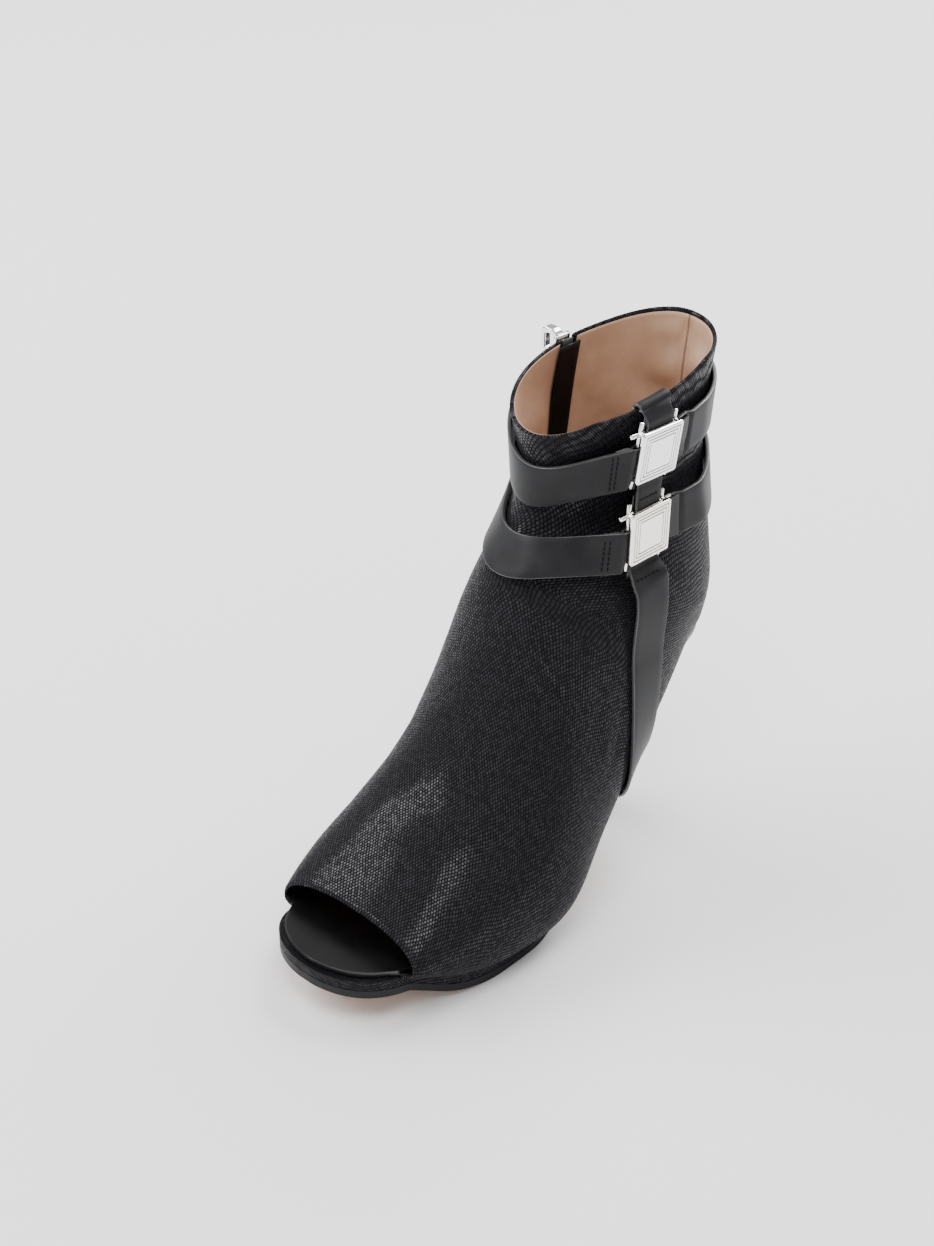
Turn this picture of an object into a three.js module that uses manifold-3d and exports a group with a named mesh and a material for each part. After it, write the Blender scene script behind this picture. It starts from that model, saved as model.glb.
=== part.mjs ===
// Peep toe ankle boot with buckled straps, left foot, in millimetres.
// Toe along -Y, lateral side +X, up +Z. The origin lies on the floor under the ball of the foot.
import * as THREE from 'three';
import Module from 'manifold-3d';
import { mergeVertices } from 'three/addons/utils/BufferGeometryUtils.js';

const wasm = await Module();
wasm.setup();

// The last
const lastLength = 213.2; // toe end to heel end of the feather line
const ballWidth = 93.5; // upper, across its widest part
const treadWidth = 78; // feather line, across the ball
const heelRise = 87; // seat above the ball, on the feather line
const instepHeight = 72; // from the feather line to the ridge at the instep
const shaftHeight = 123.8; // collar above the seat, at the back

// The bottom
const gap = 0.3; // between pieces that touch
const soleThickness = 3;
const platformThickness = 4;
const platformEdge = 0.9; // where the platform ends at the waist
const platformEnd = 42; // behind the ball
const footbedThickness = 2.6;
const footbedSetback = 2; // rim of the platform that shows in front of it
const footbedTaper = 10; // length over which that rim narrows, at the toe opening
const treadDip = 0.5; // how far the flat of the tread is cut into the sole
const breastPlace = 92; // front of the heel, behind the ball
const tipThickness = 5;
const tipWidth = 13.6;
const tipLength = 14;
const tipPlace = 97.5; // middle of the heel tip, behind the ball
const tipShift = -1.5; // middle of the heel tip, towards the medial side

// The upper
const wall = 1.8;

// The straps and their buckles
const strapWidth = 18;
const strapThickness = 1.6;
const foldLength = 12; // strap folded back on itself behind a bar
const eyeSkin = 0.8; // leather around a bar
const bandWidth = 17; // the straps that run down the side
const bandThickness = 1.5;
const plateSide = 21.4;
const plateThickness = 1.6;
const grooveWidth = 0.45;
const grooveDepth = 0.35;
const grooveInsets = [1.3, 2.6, 3.9];
const barRadius = 0.9;
const barInset = 1.5; // bar centre inside the edge of the plate
const postLength = 3.4; // how far a bar shows past the plate
const cornerBlock = 2.4;

// The zip
const slitWidth = 7;
const zipTop = 103; // behind the ball, at the collar
const zipLean = 0.1; // forward for each millimetre down
const zipLength = 120;
const strapStop = 6.4; // from the zip's middle to the end of a strap
const tapeThickness = 1.1;
const teethWidth = 2.6;
const teethRise = 0.5;
const guardWidth = 11;
const guardThickness = 0.9;
const guardDrop = 4; // below the collar's edge
const sliderWidth = 8;
const sliderLength = 11;
const sliderThickness = 2.6;
const sliderDrop = 5; // middle of the slider below the collar's edge
const crownWidth = 4;
const crownLength = 14;
const crownRise = 9.2;
const crownBar = 2.4;
const crownCorner = crownBar + gap; // so that the pull's bar sits square in its foot
const pullWidth = 7.6;
const pullLength = 31;
const pullThickness = 3;
const pullWindow = 5.6; // from the pull's bar to its solid part
const pullBar = 1.8; // across its round bar
const pullCorner = 1.2;
const pullNeck = 2.5; // from the window to the thick part
const pullLip = 1.5; // thin end below the thick part

const featherHeight = soleThickness + gap + platformThickness + gap;
const seatHeight = featherHeight + heelRise;

// Stations of the last. Each is a plane through a point of the top line and one of the bottom line.
// topY, botY: shares of lastLength from the ball. tall: top above bottom, a share of instepHeight.
// rise: a share of heelRise. up: a share of shaftHeight above the seat.
const stations = [
  { name: 'tip', topY: -0.29, tall: 0.06, botY: -0.334, rise: 0.165, up: 0 },
  { name: 'opening', topY: -0.214, tall: 0.213, botY: -0.234, rise: 0.13, up: 0 },
  { name: 'toes', topY: -0.119, tall: 0.515, botY: -0.127, rise: 0.039, up: 0 },
  { name: 'ball', topY: -0.025, tall: 0.758, botY: 0, rise: 0, up: 0 },
  { name: 'waist', topY: 0.052, tall: 0.995, botY: 0.131, rise: 0.037, up: 0 },
  { name: 'arch', topY: 0.109, tall: 1.096, botY: 0.272, rise: 0.252, up: 0 },
  { name: 'archBack', topY: 0.154, tall: 1.013, botY: 0.413, rise: 0.612, up: 0 },
  { name: 'seat', topY: 0.198, tall: 0.931, botY: 0.535, rise: 0.877, up: 0 },
  { name: 'corner', topY: 0.236, tall: 0.927, botY: 0.664, rise: 1, up: 0 },
  { name: 'counter', topY: 0.254, tall: 0.693, botY: 0.684, rise: 1, up: 0.226 },
  { name: 'ankle', topY: 0.254, tall: 0.391, botY: 0.668, rise: 1, up: 0.497 },
  { name: 'shaft', topY: 0.246, tall: 0.083, botY: 0.668, rise: 1, up: 0.757 },
  { name: 'collar', topY: 0.226, tall: -0.21, botY: 0.69, rise: 1, up: 1 },
];

// Section at each station. outer, inner: half widths, shares of ballWidth. wide: share of the height
// where it is widest. full, fullInner: how square its shoulder is on the lateral and the medial side.
const sections = [
  { name: 'tip', outer: 0.25, inner: 0.24, wide: 0.24, full: 2.3, fullInner: 2.3 },
  { name: 'opening', outer: 0.384, inner: 0.369, wide: 0.24, full: 2.3, fullInner: 2.3 },
  { name: 'toes', outer: 0.462, inner: 0.453, wide: 0.24, full: 2.2, fullInner: 2.2 },
  { name: 'ball', outer: 0.528, inner: 0.472, wide: 0.28, full: 2.1, fullInner: 2.1 },
  { name: 'waist', outer: 0.555, inner: 0.448, wide: 0.3, full: 2, fullInner: 2 },
  { name: 'arch', outer: 0.484, inner: 0.415, wide: 0.33, full: 2, fullInner: 2 },
  { name: 'archBack', outer: 0.46, inner: 0.39, wide: 0.36, full: 2, fullInner: 2 },
  { name: 'seat', outer: 0.436, inner: 0.356, wide: 0.4, full: 1.85, fullInner: 2 },
  { name: 'corner', outer: 0.404, inner: 0.335, wide: 0.45, full: 1.6, fullInner: 1.95 },
  { name: 'counter', outer: 0.356, inner: 0.328, wide: 0.48, full: 1.6, fullInner: 1.9 },
  { name: 'ankle', outer: 0.318, inner: 0.32, wide: 0.5, full: 1.75, fullInner: 1.9 },
  { name: 'shaft', outer: 0.32, inner: 0.312, wide: 0.5, full: 1.85, fullInner: 1.95 },
  { name: 'collar', outer: 0.342, inner: 0.294, wide: 0.5, full: 2, fullInner: 2 },
];
const stationNamed = (name) => stations.findIndex((row) => row.name === name);
const opening = stationNamed('opening');
const corner = stationNamed('corner');
const collar = stationNamed('collar');

// Feather line seen from above. place: share of lastLength from the ball.
// lateral, medial: shares of treadWidth.
const tread = [
  { place: -0.211, lateral: 0.379, medial: 0.376 },
  { place: -0.117, lateral: 0.5, medial: 0.46 },
  { place: 0, lateral: 0.532, medial: 0.468 },
  { place: 0.117, lateral: 0.512, medial: 0.4 },
  { place: 0.235, lateral: 0.42, medial: 0.31 },
  { place: 0.375, lateral: 0.356, medial: 0.272 },
  { place: 0.516, lateral: 0.346, medial: 0.3 },
  { place: 0.586, lateral: 0.302, medial: 0.282 },
];
const toeRoundness = 2.3;

// Height of the collar's edge and of the two straps around the shaft, as shares of shaftHeight
// above the seat. front: 1 at the front of the shaft, 0 at its back.
const collarEdge = [
  { front: 0, lateral: 0.955, medial: 0.955 },
  { front: 0.25, lateral: 0.96, medial: 0.928 },
  { front: 0.5, lateral: 0.963, medial: 0.915 },
  { front: 0.75, lateral: 0.931, medial: 0.895 },
  { front: 1, lateral: 0.838, medial: 0.838 },
];
const upperStrapLine = [
  { front: 0, height: 0.77 },
  { front: 0.3, height: 0.772 },
  { front: 0.56, height: 0.776 },
  { front: 0.76, height: 0.748 },
  { front: 0.9, height: 0.698 },
  { front: 1, height: 0.65 },
];
const lowerStrapLine = [
  { front: 0, height: 0.535 },
  { front: 0.35, height: 0.524 },
  { front: 0.6, height: 0.515 },
  { front: 0.78, height: 0.495 },
  { front: 0.9, height: 0.467 },
  { front: 1, height: 0.443 },
];

// Buckle plates. place: share of lastLength. height: share of shaftHeight above the seat.
// Angles in degrees: yaw about Z, tilt back, roll in the plate's own plane.
const upperPlate = { place: 0.394, height: 0.778, yaw: -3, tilt: -5, roll: -4 };
const lowerPlate = { place: 0.367, height: 0.52, yaw: -1, tilt: 1, roll: -3 };

// The band down the side. drop: share of the way to the feather line. place: share of lastLength.
const sideBand = [
  { drop: 0, place: 0.351 },
  { drop: 0.2, place: 0.336 },
  { drop: 0.45, place: 0.328 },
  { drop: 0.75, place: 0.336 },
  { drop: 1, place: 0.342 },
];

// Heel, from the seat down to the tip. down: share of the height. front, back: share of the way
// from the seat's outline to the tip's. narrow: the same for the width. round: how round its front is.
const heelStations = [
  { down: 0, front: 0, back: 0, narrow: 0, round: 0 },
  { down: 0.06, front: 0, back: 0.01, narrow: 0, round: 0 },
  { down: 0.16, front: 0.5, back: 0.14, narrow: 0.17, round: 0.1 },
  { down: 0.3, front: 1.1, back: 0.36, narrow: 0.46, round: 0.3 },
  { down: 0.5, front: 1.6, back: 0.63, narrow: 0.72, round: 0.55 },
  { down: 0.75, front: 1.4, back: 0.87, narrow: 0.91, round: 0.7 },
  { down: 1, front: 1, back: 1, narrow: 1, round: 0.8 },
];

const V = (x, y, z) => new THREE.Vector3(x, y, z);
const mix = (a, b, k) => a + (b - a) * k;
const clamp01 = (x) => Math.min(1, Math.max(0, x));
const fade = (from, to, x) => {
  const k = clamp01((x - from) / (to - from));
  return k * k * (3 - 2 * k);
};
const spread = (from, to, count) => Array.from({ length: count + 1 }, (_, i) => mix(from, to, i / count));

// Cubic through the knots, with tangents taken from the neighbours
function smooth(knots, values, x) {
  const last = knots.length - 1;
  let i = 0;
  while (i < last - 1 && x > knots[i + 1]) i += 1;
  const slope = (k) => {
    const a = Math.max(0, k - 1);
    const b = Math.min(last, k + 1);
    return (values[b] - values[a]) / (knots[b] - knots[a]);
  };
  const h = knots[i + 1] - knots[i];
  const q = (x - knots[i]) / h;
  const q2 = q * q;
  const q3 = q2 * q;
  return values[i] * (2 * q3 - 3 * q2 + 1) + slope(i) * h * (q3 - 2 * q2 + q)
    + values[i + 1] * (3 * q2 - 2 * q3) + slope(i + 1) * h * (q3 - q2);
}

// Where a rising function of x reaches a value
function solve(f, target, low, high) {
  let a = low;
  let b = high;
  for (let i = 0; i < 40; i += 1) {
    const middle = (a + b) / 2;
    if (f(middle) < target) a = middle;
    else b = middle;
  }
  return (a + b) / 2;
}

const column = (table, name, scale = 1) => table.map((row) => row[name] * scale);
const index = stations.map((_, i) => i);
const lines = {
  topY: column(stations, 'topY', lastLength),
  botY: column(stations, 'botY', lastLength),
  botZ: stations.map((r) => featherHeight + r.rise * heelRise + r.up * shaftHeight),
  outer: column(sections, 'outer', ballWidth),
  inner: column(sections, 'inner', ballWidth),
  wide: column(sections, 'wide'),
  full: column(sections, 'full'),
  fullInner: column(sections, 'fullInner'),
};
lines.topZ = stations.map((r, i) => lines.botZ[i] + r.tall * instepHeight);
const at = (name, t) => smooth(index, lines[name], t);

const toeEnd = lines.botY[0];
const heelEnd = lines.botY[corner];
const treadPlaces = column(tread, 'place', lastLength);
const treadWidths = { 1: column(tread, 'lateral', treadWidth), '-1': column(tread, 'medial', treadWidth) };

// Half width of the feather line at y. side: 1 lateral, -1 medial. short: how much shorter at each end
function feather(y, side, shortToe = 0, shortHeel = 0) {
  const widths = treadWidths[side];
  const last = widths.length - 1;
  const toeRound = treadPlaces[0];
  const heelRound = treadPlaces[last];
  if (y < toeRound) {
    const k = clamp01((toeRound - y) / (toeRound - toeEnd - shortToe));
    return widths[0] * Math.sqrt(1 - k ** toeRoundness);
  }
  if (y > heelRound) {
    const k = clamp01((y - heelRound) / (heelEnd - shortHeel - heelRound));
    return widths[last] * Math.sqrt(1 - k * k);
  }
  return smooth(treadPlaces, widths, y);
}

// Height of the feather line at y
const stationOf = (y) => solve((t) => at('botY', t), y, 0, corner);
const featherZ = (y) => at('botZ', stationOf(y));

// Half width of the section at station t, a share s of the way up
function sectionX(t, s, side) {
  const w = at(side > 0 ? 'outer' : 'inner', t);
  const foot = t < corner ? Math.min(feather(at('botY', t), side), w - 0.01) : 0;
  const wide = at('wide', t);
  const full = at(side > 0 ? 'full' : 'fullInner', t);
  if (s < wide) {
    const k = 1 - s / wide;
    const round = Math.sqrt(Math.max(0, 1 - k * k));
    const settle = 1 + clamp01((t - corner + 2) / 2) ** 2; // the foot's width fades sooner at the heel
    return w * round + foot * (1 - round) ** settle;
  }
  const k = clamp01((s - wide) / (1 - wide));
  return w * Math.max(0, 1 - k ** full) ** (1 / full);
}

// A point of the upper's outer face. turn: 0 at the front or ridge, pi at the back or feather line,
// positive on the lateral side. inset: distance inside that face
function skin(t, turn, inset = 0) {
  const side = Math.sin(turn) >= 0 ? 1 : -1;
  const s = (1 + Math.cos(turn)) / 2;
  const bottom = V(0, at('botY', t), at('botZ', t));
  const rise = V(0, at('topY', t), at('topZ', t)).sub(bottom);
  const length = rise.length();
  rise.divideScalar(length);
  const tiny = 1e-9;
  if (s > 1 - tiny) return bottom.addScaledVector(rise, length - inset);
  if (s < tiny) return bottom.addScaledVector(rise, inset).setX(sectionX(t, 0, side) * side);
  const step = 1e-4;
  const low = Math.max(0, s - step);
  const high = Math.min(1, s + step);
  const slope = (sectionX(t, high, side) - sectionX(t, low, side)) / ((high - low) * length);
  const scale = inset / Math.hypot(1, slope);
  const x = Math.max(0, sectionX(t, s, side) - scale);
  return bottom.addScaledVector(rise, s * length + scale * slope).setX(x * side);
}

const heightAt = (share) => seatHeight + share * shaftHeight;
function lineHeight(table, turn, name = 'height') {
  const front = (1 + Math.cos(turn)) / 2;
  return heightAt(smooth(column(table, 'front'), column(table, name), front));
}
const collarHeight = (turn) => lineHeight(collarEdge, turn, Math.sin(turn) >= 0 ? 'lateral' : 'medial');

// Station of the shaft at a turn and a height
const lowestRing = stationNamed('arch');
function ringAt(turn, z) {
  const s = (1 + Math.cos(turn)) / 2;
  return solve((t) => mix(at('botZ', t), at('topZ', t), s), z, lowestRing, collar);
}
const shaftPoint = (turn, z, inset = 0) => skin(ringAt(turn, z), turn, inset);

// Turn at which the shaft reaches y on one side, at a height
function turnAt(y, z, side) {
  return side * solve((turn) => shaftPoint(side * turn, z).y, y, 0.02, Math.PI - 0.02);
}

// Solids

function solidFrom(triangles) {
  const flat = triangles.flatMap((p) => [p.x, p.y, p.z]);
  const geometry = new THREE.BufferGeometry();
  geometry.setAttribute('position', new THREE.Float32BufferAttribute(flat, 3));
  const merged = mergeVertices(geometry, 1e-4);
  const kept = [];
  const order = merged.index.array;
  for (let i = 0; i < order.length; i += 3) {
    const [a, b, c] = [order[i], order[i + 1], order[i + 2]];
    if (a !== b && b !== c && c !== a) kept.push(a, b, c);
  }
  merged.setIndex(kept);
  if (volume(merged) < 0) merged.setIndex(kept.reverse());
  return merged;
}

function volume(geometry) {
  const p = geometry.attributes.position;
  const order = geometry.index.array;
  const [a, b, c] = [V(), V(), V()];
  let sum = 0;
  for (let i = 0; i < order.length; i += 3) {
    a.fromBufferAttribute(p, order[i]);
    b.fromBufferAttribute(p, order[i + 1]);
    c.fromBufferAttribute(p, order[i + 2]);
    sum += a.dot(b.cross(c)) / 6;
  }
  return sum;
}

const quad = (list, a, b, c, d) => list.push(a, b, c, a, c, d);

// Closed solid through rings of equally many points
function loft(rings, capped = true) {
  const faces = [];
  for (let i = 0; i + 1 < rings.length; i += 1) {
    rings[i].forEach((point, j) => {
      const k = (j + 1) % rings[i].length;
      quad(faces, point, rings[i][k], rings[i + 1][k], rings[i + 1][j]);
    });
  }
  if (capped) {
    const cap = (ring, flip) => {
      // a strip from side to side, so that a bent end stays true
      const n = ring.length;
      for (let j = 0; j < n / 2 - 1; j += 1) {
        const four = [ring[j], ring[j + 1], ring[n - 2 - j], ring[n - 1 - j]];
        if (flip) four.reverse();
        quad(faces, ...four);
      }
    };
    cap(rings[0], true);
    cap(rings[rings.length - 1], false);
  }
  return solidFrom(faces);
}

function toManifold(geometry) {
  let source = geometry;
  if (source.attributes.normal) {
    source = geometry.clone();
    source.deleteAttribute('normal');
    source.deleteAttribute('uv');
    source = mergeVertices(source, 1e-4);
  }
  const mesh = new wasm.Mesh({
    numProp: 3,
    vertProperties: new Float32Array(source.attributes.position.array),
    triVerts: new Uint32Array(source.index.array),
  });
  return new wasm.Manifold(mesh);
}

function fromManifold(solid) {
  const mesh = solid.getMesh();
  const geometry = new THREE.BufferGeometry();
  geometry.setAttribute('position', new THREE.BufferAttribute(new Float32Array(mesh.vertProperties), 3));
  geometry.setIndex(Array.from(mesh.triVerts));
  return geometry;
}

const join = (...parts) => fromManifold(parts.map(toManifold).reduce((a, b) => a.add(b)));
function cut(body, ...tools) {
  return fromManifold(tools.map(toManifold).reduce((a, b) => a.subtract(b), toManifold(body)));
}

// A box or a rod placed in a frame of three directions
function placed(geometry, origin, along, across, out) {
  const matrix = new THREE.Matrix4().makeBasis(along, across, out).setPosition(origin);
  return geometry.applyMatrix4(matrix);
}
const rodSides = 8;
function rod(from, to, radius, sides = rodSides) {
  const geometry = new THREE.CylinderGeometry(radius, radius, from.distanceTo(to), sides);
  const turn = new THREE.Quaternion().setFromUnitVectors(V(0, 1, 0), to.clone().sub(from).normalize());
  geometry.applyQuaternion(turn);
  const middle = from.clone().add(to).multiplyScalar(0.5);
  return geometry.translate(middle.x, middle.y, middle.z);
}

// A band through frames { point, across, out, width, low, high }: low and high are its faces' distances
// from the point
function band(frames) {
  return loft(frames.map((f) => {
    const edge = (side, depth) => f.point.clone()
      .addScaledVector(f.across, side * f.width / 2).addScaledVector(f.out, depth);
    return [edge(-1, f.low), edge(-1, f.high), edge(1, f.high), edge(1, f.low)];
  }));
}

// The bottom: outsole, platform, footbed

const roundRows = 12;
const bluntEnd = 0.14; // angle at which the blunt end of an outline begins
const rowPitch = 4.5;
function rowsBetween(from, to) {
  const toeRound = treadPlaces[0];
  const rows = [];
  if (from < toeRound) {
    const rowAt = (angle) => toeRound - (toeRound - from) * Math.cos(angle);
    rows.push(...spread(bluntEnd, Math.PI / 2, roundRows).map(rowAt));
  } else rows.push(from);
  const first = rows[rows.length - 1];
  const count = Math.ceil((to - first) / rowPitch);
  return rows.concat(spread(first, to, count).slice(1));
}

function plank(rows, widthAt, bottomAt, topAt) {
  return loft(rows.map((y) => {
    const [lateral, medial] = [widthAt(y, 1), -widthAt(y, -1)];
    const [low, high] = [bottomAt(y), topAt(y)];
    return [V(medial, y, low), V(lateral, y, low), V(lateral, y, high), V(medial, y, high)];
  }));
}

const platformTaper = (y) => mix(platformThickness, platformEdge, fade(0.2 * platformEnd, platformEnd, y));
const platformTop = (y) => featherZ(y) - gap;
const platformBottom = (y) => platformTop(y) - platformTaper(y);
// how far the sole has risen behind the platform
const sunk = (y) => fade(platformEnd, 1.6 * platformEnd, y);
const underPlatform = (y) => mix(gap + platformTaper(y) + gap, gap, sunk(y));
const soleBottom = (y) => Math.max(0, featherZ(y) - underPlatform(y) - soleThickness - treadDip);
const soleStep = 0.6; // length of the step in the sole's top behind the platform
function soleTop(y) {
  const under = platformBottom(y) - gap;
  return y > platformEnd + soleStep ? platformTop(y) : under;
}

function makeOutsole() {
  const rows = rowsBetween(toeEnd, platformEnd + gap);
  const count = Math.ceil((breastPlace - platformEnd) / rowPitch);
  const behind = spread(platformEnd + gap + soleStep, breastPlace, count);
  return plank(rows.concat(behind), feather, soleBottom, soleTop);
}

const makePlatform = () => plank(rowsBetween(toeEnd, platformEnd), feather, platformBottom, platformTop);

function makeFootbed() {
  const insideGap = gap + 0.1;
  const heelRound = treadPlaces[treadPlaces.length - 1];
  const heelShort = wall + gap;
  const taperStart = lines.botY[opening] - 0.6 * footbedTaper;
  const atToe = (y) => 1 - fade(taperStart, taperStart + footbedTaper, y);
  const atHeel = (y) => fade(heelRound - 0.1 * lastLength, heelRound, y);
  const setback = (y) => insideGap + atToe(y) * (footbedSetback - insideGap) + atHeel(y) * wall;
  const width = (y, side) => feather(y, side, footbedSetback, heelShort) - setback(y);
  const end = heelEnd - heelShort;
  const rows = rowsBetween(toeEnd + footbedSetback, heelRound);
  const rowAt = (angle) => heelRound + (end - heelRound) * Math.sin(angle);
  const round = spread(0, Math.PI / 2 - bluntEnd, 7).slice(1).map(rowAt);
  return plank(rows.concat(round), width, featherZ, (y) => featherZ(y) + footbedThickness);
}

// The heel

const heelSteps = 15;
function heelOutline(y, front, back, half, middle, round) {
  // half outline from the breast to the back, as shares q
  return (side) => spread(0, 1, heelSteps).map((q) => {
    const place = mix(front, back, (1 - Math.cos(Math.PI * q)) / 2);
    const plain = y(q);
    const seatShare = feather(plain, side) / feather(breastPlace, side);
    const width = mix(seatShare, Math.max(0.25 * (1 - q), Math.sin(Math.PI * q)), round) * half(side);
    return { x: middle + side * width, y: place, q };
  });
}

function heelSection(row) {
  const tipFront = tipPlace - tipLength / 2;
  const tipBack = tipPlace + tipLength / 2;
  const seatFront = breastPlace + gap;
  const seatAt = (q) => mix(seatFront, heelEnd - 0.02, (1 - Math.cos(Math.PI * q)) / 2);
  const half = (side) => mix(feather(breastPlace, side), tipWidth / 2, row.narrow);
  const front = mix(seatFront, tipFront, row.front);
  const back = mix(heelEnd - 0.02, tipBack, row.back);
  const make = heelOutline(seatAt, front, back, half, mix(0, tipShift, row.narrow), row.round);
  const floor = tipThickness + gap;
  const lift = (p) => V(p.x, p.y, mix(featherZ(seatAt(p.q)) - gap, floor, row.down));
  return make(1).map(lift).concat(make(-1).reverse().map(lift));
}

const makeHeel = () => loft(heelStations.map(heelSection));

function makeHeelTip() {
  const ring = heelSection(heelStations[heelStations.length - 1]);
  return loft([tipThickness, 0].map((z) => ring.map((p) => V(p.x, p.y, z))));
}

// The upper

const sideColumns = 12;
function makeUpper() {
  const low = [
    ...spread(opening, corner - 1, 22),
    ...spread(corner - 1, corner - 0.2, 4).slice(1), corner - 0.08, corner - 0.02,
  ];
  const high = [corner, corner + 0.12, corner + 0.3, corner + 0.6, ...spread(corner + 1, collar, 9)];
  const turns = spread(-Math.PI, Math.PI, 2 * sideColumns);
  const bendStart = corner + 1;
  const edgeStation = turns.map((turn) => ringAt(turn, collarHeight(turn)));
  const place = (t, j, inset) => {
    const above = clamp01((t - bendStart) / (collar - bendStart));
    const station = t > bendStart ? mix(bendStart, edgeStation[j], above) : t;
    return skin(station, turns[j], inset);
  };
  const sheet = (inset) => [...low, ...high].map((t) => turns.map((_, j) => place(t, j, inset)));
  const [outside, inside] = [sheet(0), sheet(wall)];
  const faces = [];
  const lastColumn = turns.length - 1;
  for (let i = 0; i + 1 < outside.length; i += 1) {
    for (let j = 0; j < lastColumn; j += 1) {
      quad(faces, outside[i][j], outside[i][j + 1], outside[i + 1][j + 1], outside[i + 1][j]);
      quad(faces, inside[i][j], inside[i + 1][j], inside[i + 1][j + 1], inside[i][j + 1]);
    }
    if (i < low.length) {
      quad(faces, outside[i][0], outside[i + 1][0], inside[i + 1][0], inside[i][0]);
      const [a, b] = [lastColumn, i + 1];
      quad(faces, outside[i][a], inside[i][a], inside[b][a], outside[b][a]);
    }
  }
  const top = outside.length - 1;
  for (let j = 0; j < lastColumn; j += 1) {
    quad(faces, outside[0][j], inside[0][j], inside[0][j + 1], outside[0][j + 1]);
    quad(faces, outside[top][j], outside[top][j + 1], inside[top][j + 1], inside[top][j]);
  }
  return cut(solidFrom(faces), band(zipFrames(slitWidth, -2 * wall, wall, slitOver, 0)));
}

// The zip's line on the medial side

const zipY = (z) => zipTop - zipLean * (collarMedial - z);
const collarMedial = heightAt(0.915);
function zipFrame(z) {
  const turn = turnAt(zipY(z), z, -1);
  const point = shaftPoint(turn, z);
  const e = 0.02;
  const along = shaftPoint(turn, z + 2).sub(shaftPoint(turn, z - 2)).normalize();
  const across = shaftPoint(turn - e, z).sub(shaftPoint(turn + e, z));
  across.addScaledVector(along, -across.dot(along)).normalize();
  const out = V().crossVectors(across, along).normalize();
  if (out.x > 0) out.negate();
  return { point, across, out, along };
}
const zipSteps = 18;
const slitOver = 5; // the cut's reach past the collar's edge
function zipFrames(width, low, high, above, below) {
  const edge = zipEdge();
  const [top, bottom] = [edge + above, edge - zipLength + below];
  const between = spread(edge, edge - zipLength, zipSteps).filter((z) => z < top - 1 && z > bottom + 1);
  return [top, ...between, bottom].map((z) => {
    const f = zipFrame(Math.min(z, edge - 2));
    f.point.addScaledVector(f.along, Math.max(0, z - edge + 2));
    return { ...f, width, low, high };
  });
}
function zipEdge() {
  const turn = turnAt(zipTop, collarMedial, -1);
  return collarHeight(turn);
}

const tapeInset = 0.35 * wall;
function makeZipTape() {
  const width = slitWidth - 3 * gap;
  const tape = band(zipFrames(width, -tapeInset - tapeThickness, -tapeInset, -1, gap));
  const middle = -tapeInset - tapeThickness / 2;
  const teeth = band(zipFrames(teethWidth, middle, teethRise - tapeInset, -1.5, gap + 1));
  return join(tape, teeth);
}

function makeZipGuard() {
  const face = -wall - 3 * gap;
  return band(zipFrames(guardWidth, face - guardThickness, face, -guardDrop, gap));
}

// Slider with its crown, and the pull that hangs in it

const sliderBase = teethRise - tapeInset + gap;
const crownFrame = () => {
  const f = zipFrame(zipEdge() - sliderDrop);
  // the crown stands upright, so that the pull hangs plumb
  return { point: f.point, along: V(0, 0, 1), across: V(0, 1, 0), out: V(-1, 0, 0), face: f };
};

function ringShape(width, height, bar, radius) {
  const outline = (inset) => {
    const [w, h, r] = [width / 2 - inset, height / 2 - inset, radius - inset];
    const points = [];
    [[1, 1, 0], [-1, 1, 1], [-1, -1, 2], [1, -1, 3]].forEach(([sx, sy, k]) => {
      spread(0, 1, 4).forEach((q) => {
        const a = (k + q) * Math.PI / 2;
        points.push(new THREE.Vector2(sx * (w - r) + r * Math.cos(a), sy * (h - r) + r * Math.sin(a)));
      });
    });
    return points;
  };
  const shape = new THREE.Shape(outline(0));
  shape.holes.push(new THREE.Path(outline(bar)));
  return shape;
}

function makeZipSlider() {
  const f = crownFrame();
  const base = new THREE.BoxGeometry(sliderWidth, sliderLength, sliderThickness);
  const centre = f.point.clone().addScaledVector(f.face.out, sliderBase + sliderThickness / 2);
  placed(base, centre, f.face.across, f.face.along, V().crossVectors(f.face.across, f.face.along));
  const reach = crownRise - sliderBase;
  const shape = ringShape(reach, crownLength, crownBar, crownCorner);
  const crown = new THREE.ExtrudeGeometry(shape, { depth: crownWidth, bevelEnabled: false });
  crown.translate(0, 0, -crownWidth / 2);
  const middle = f.point.clone().addScaledVector(f.out, sliderBase + sliderThickness * 0.4 + reach / 2);
  placed(crown, middle, f.out, f.along, V().crossVectors(f.out, f.along));
  return join(base, crown);
}

function pullPivot() {
  const f = crownFrame();
  const reach = crownRise - sliderBase;
  const outerInside = sliderBase + sliderThickness * 0.4 + reach - crownBar;
  return f.point.clone().addScaledVector(f.out, outerInside - gap - pullBar / 2)
    .addScaledVector(f.along, -crownLength / 2 + crownBar + gap + pullBar / 2);
}

const pullBarSides = 16;
function makeZipPull() {
  const pivot = pullPivot();
  const inner = crownWidth / 2 + 1.3 * gap;
  const [w, r] = [pullWidth / 2, pullCorner];
  const shape = new THREE.Shape([
    [-w, 0], [-inner, 0], [-inner, -pullWindow], [inner, -pullWindow], [inner, 0], [w, 0],
    [w, r - pullLength], [w - r, -pullLength], [r - w, -pullLength], [-w, r - pullLength],
  ].map(([x, y]) => new THREE.Vector2(x, y)));
  const body = new THREE.ExtrudeGeometry(shape, { depth: pullBar, bevelEnabled: false });
  body.translate(0, 0, -pullBar / 2);
  const bar = rod(V(-w, 0, 0), V(w, 0, 0), pullBar / 2, pullBarSides);
  const tabLength = pullLength - pullWindow - pullNeck - pullLip;
  const tab = new THREE.BoxGeometry(pullWidth, tabLength, pullThickness);
  tab.translate(0, pullLip - pullLength + tabLength / 2, 0);
  const pull = join(body, bar, tab);
  return placed(pull, pivot, V(0, 1, 0), V(0, 0, 1), V(1, 0, 0));
}

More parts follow.
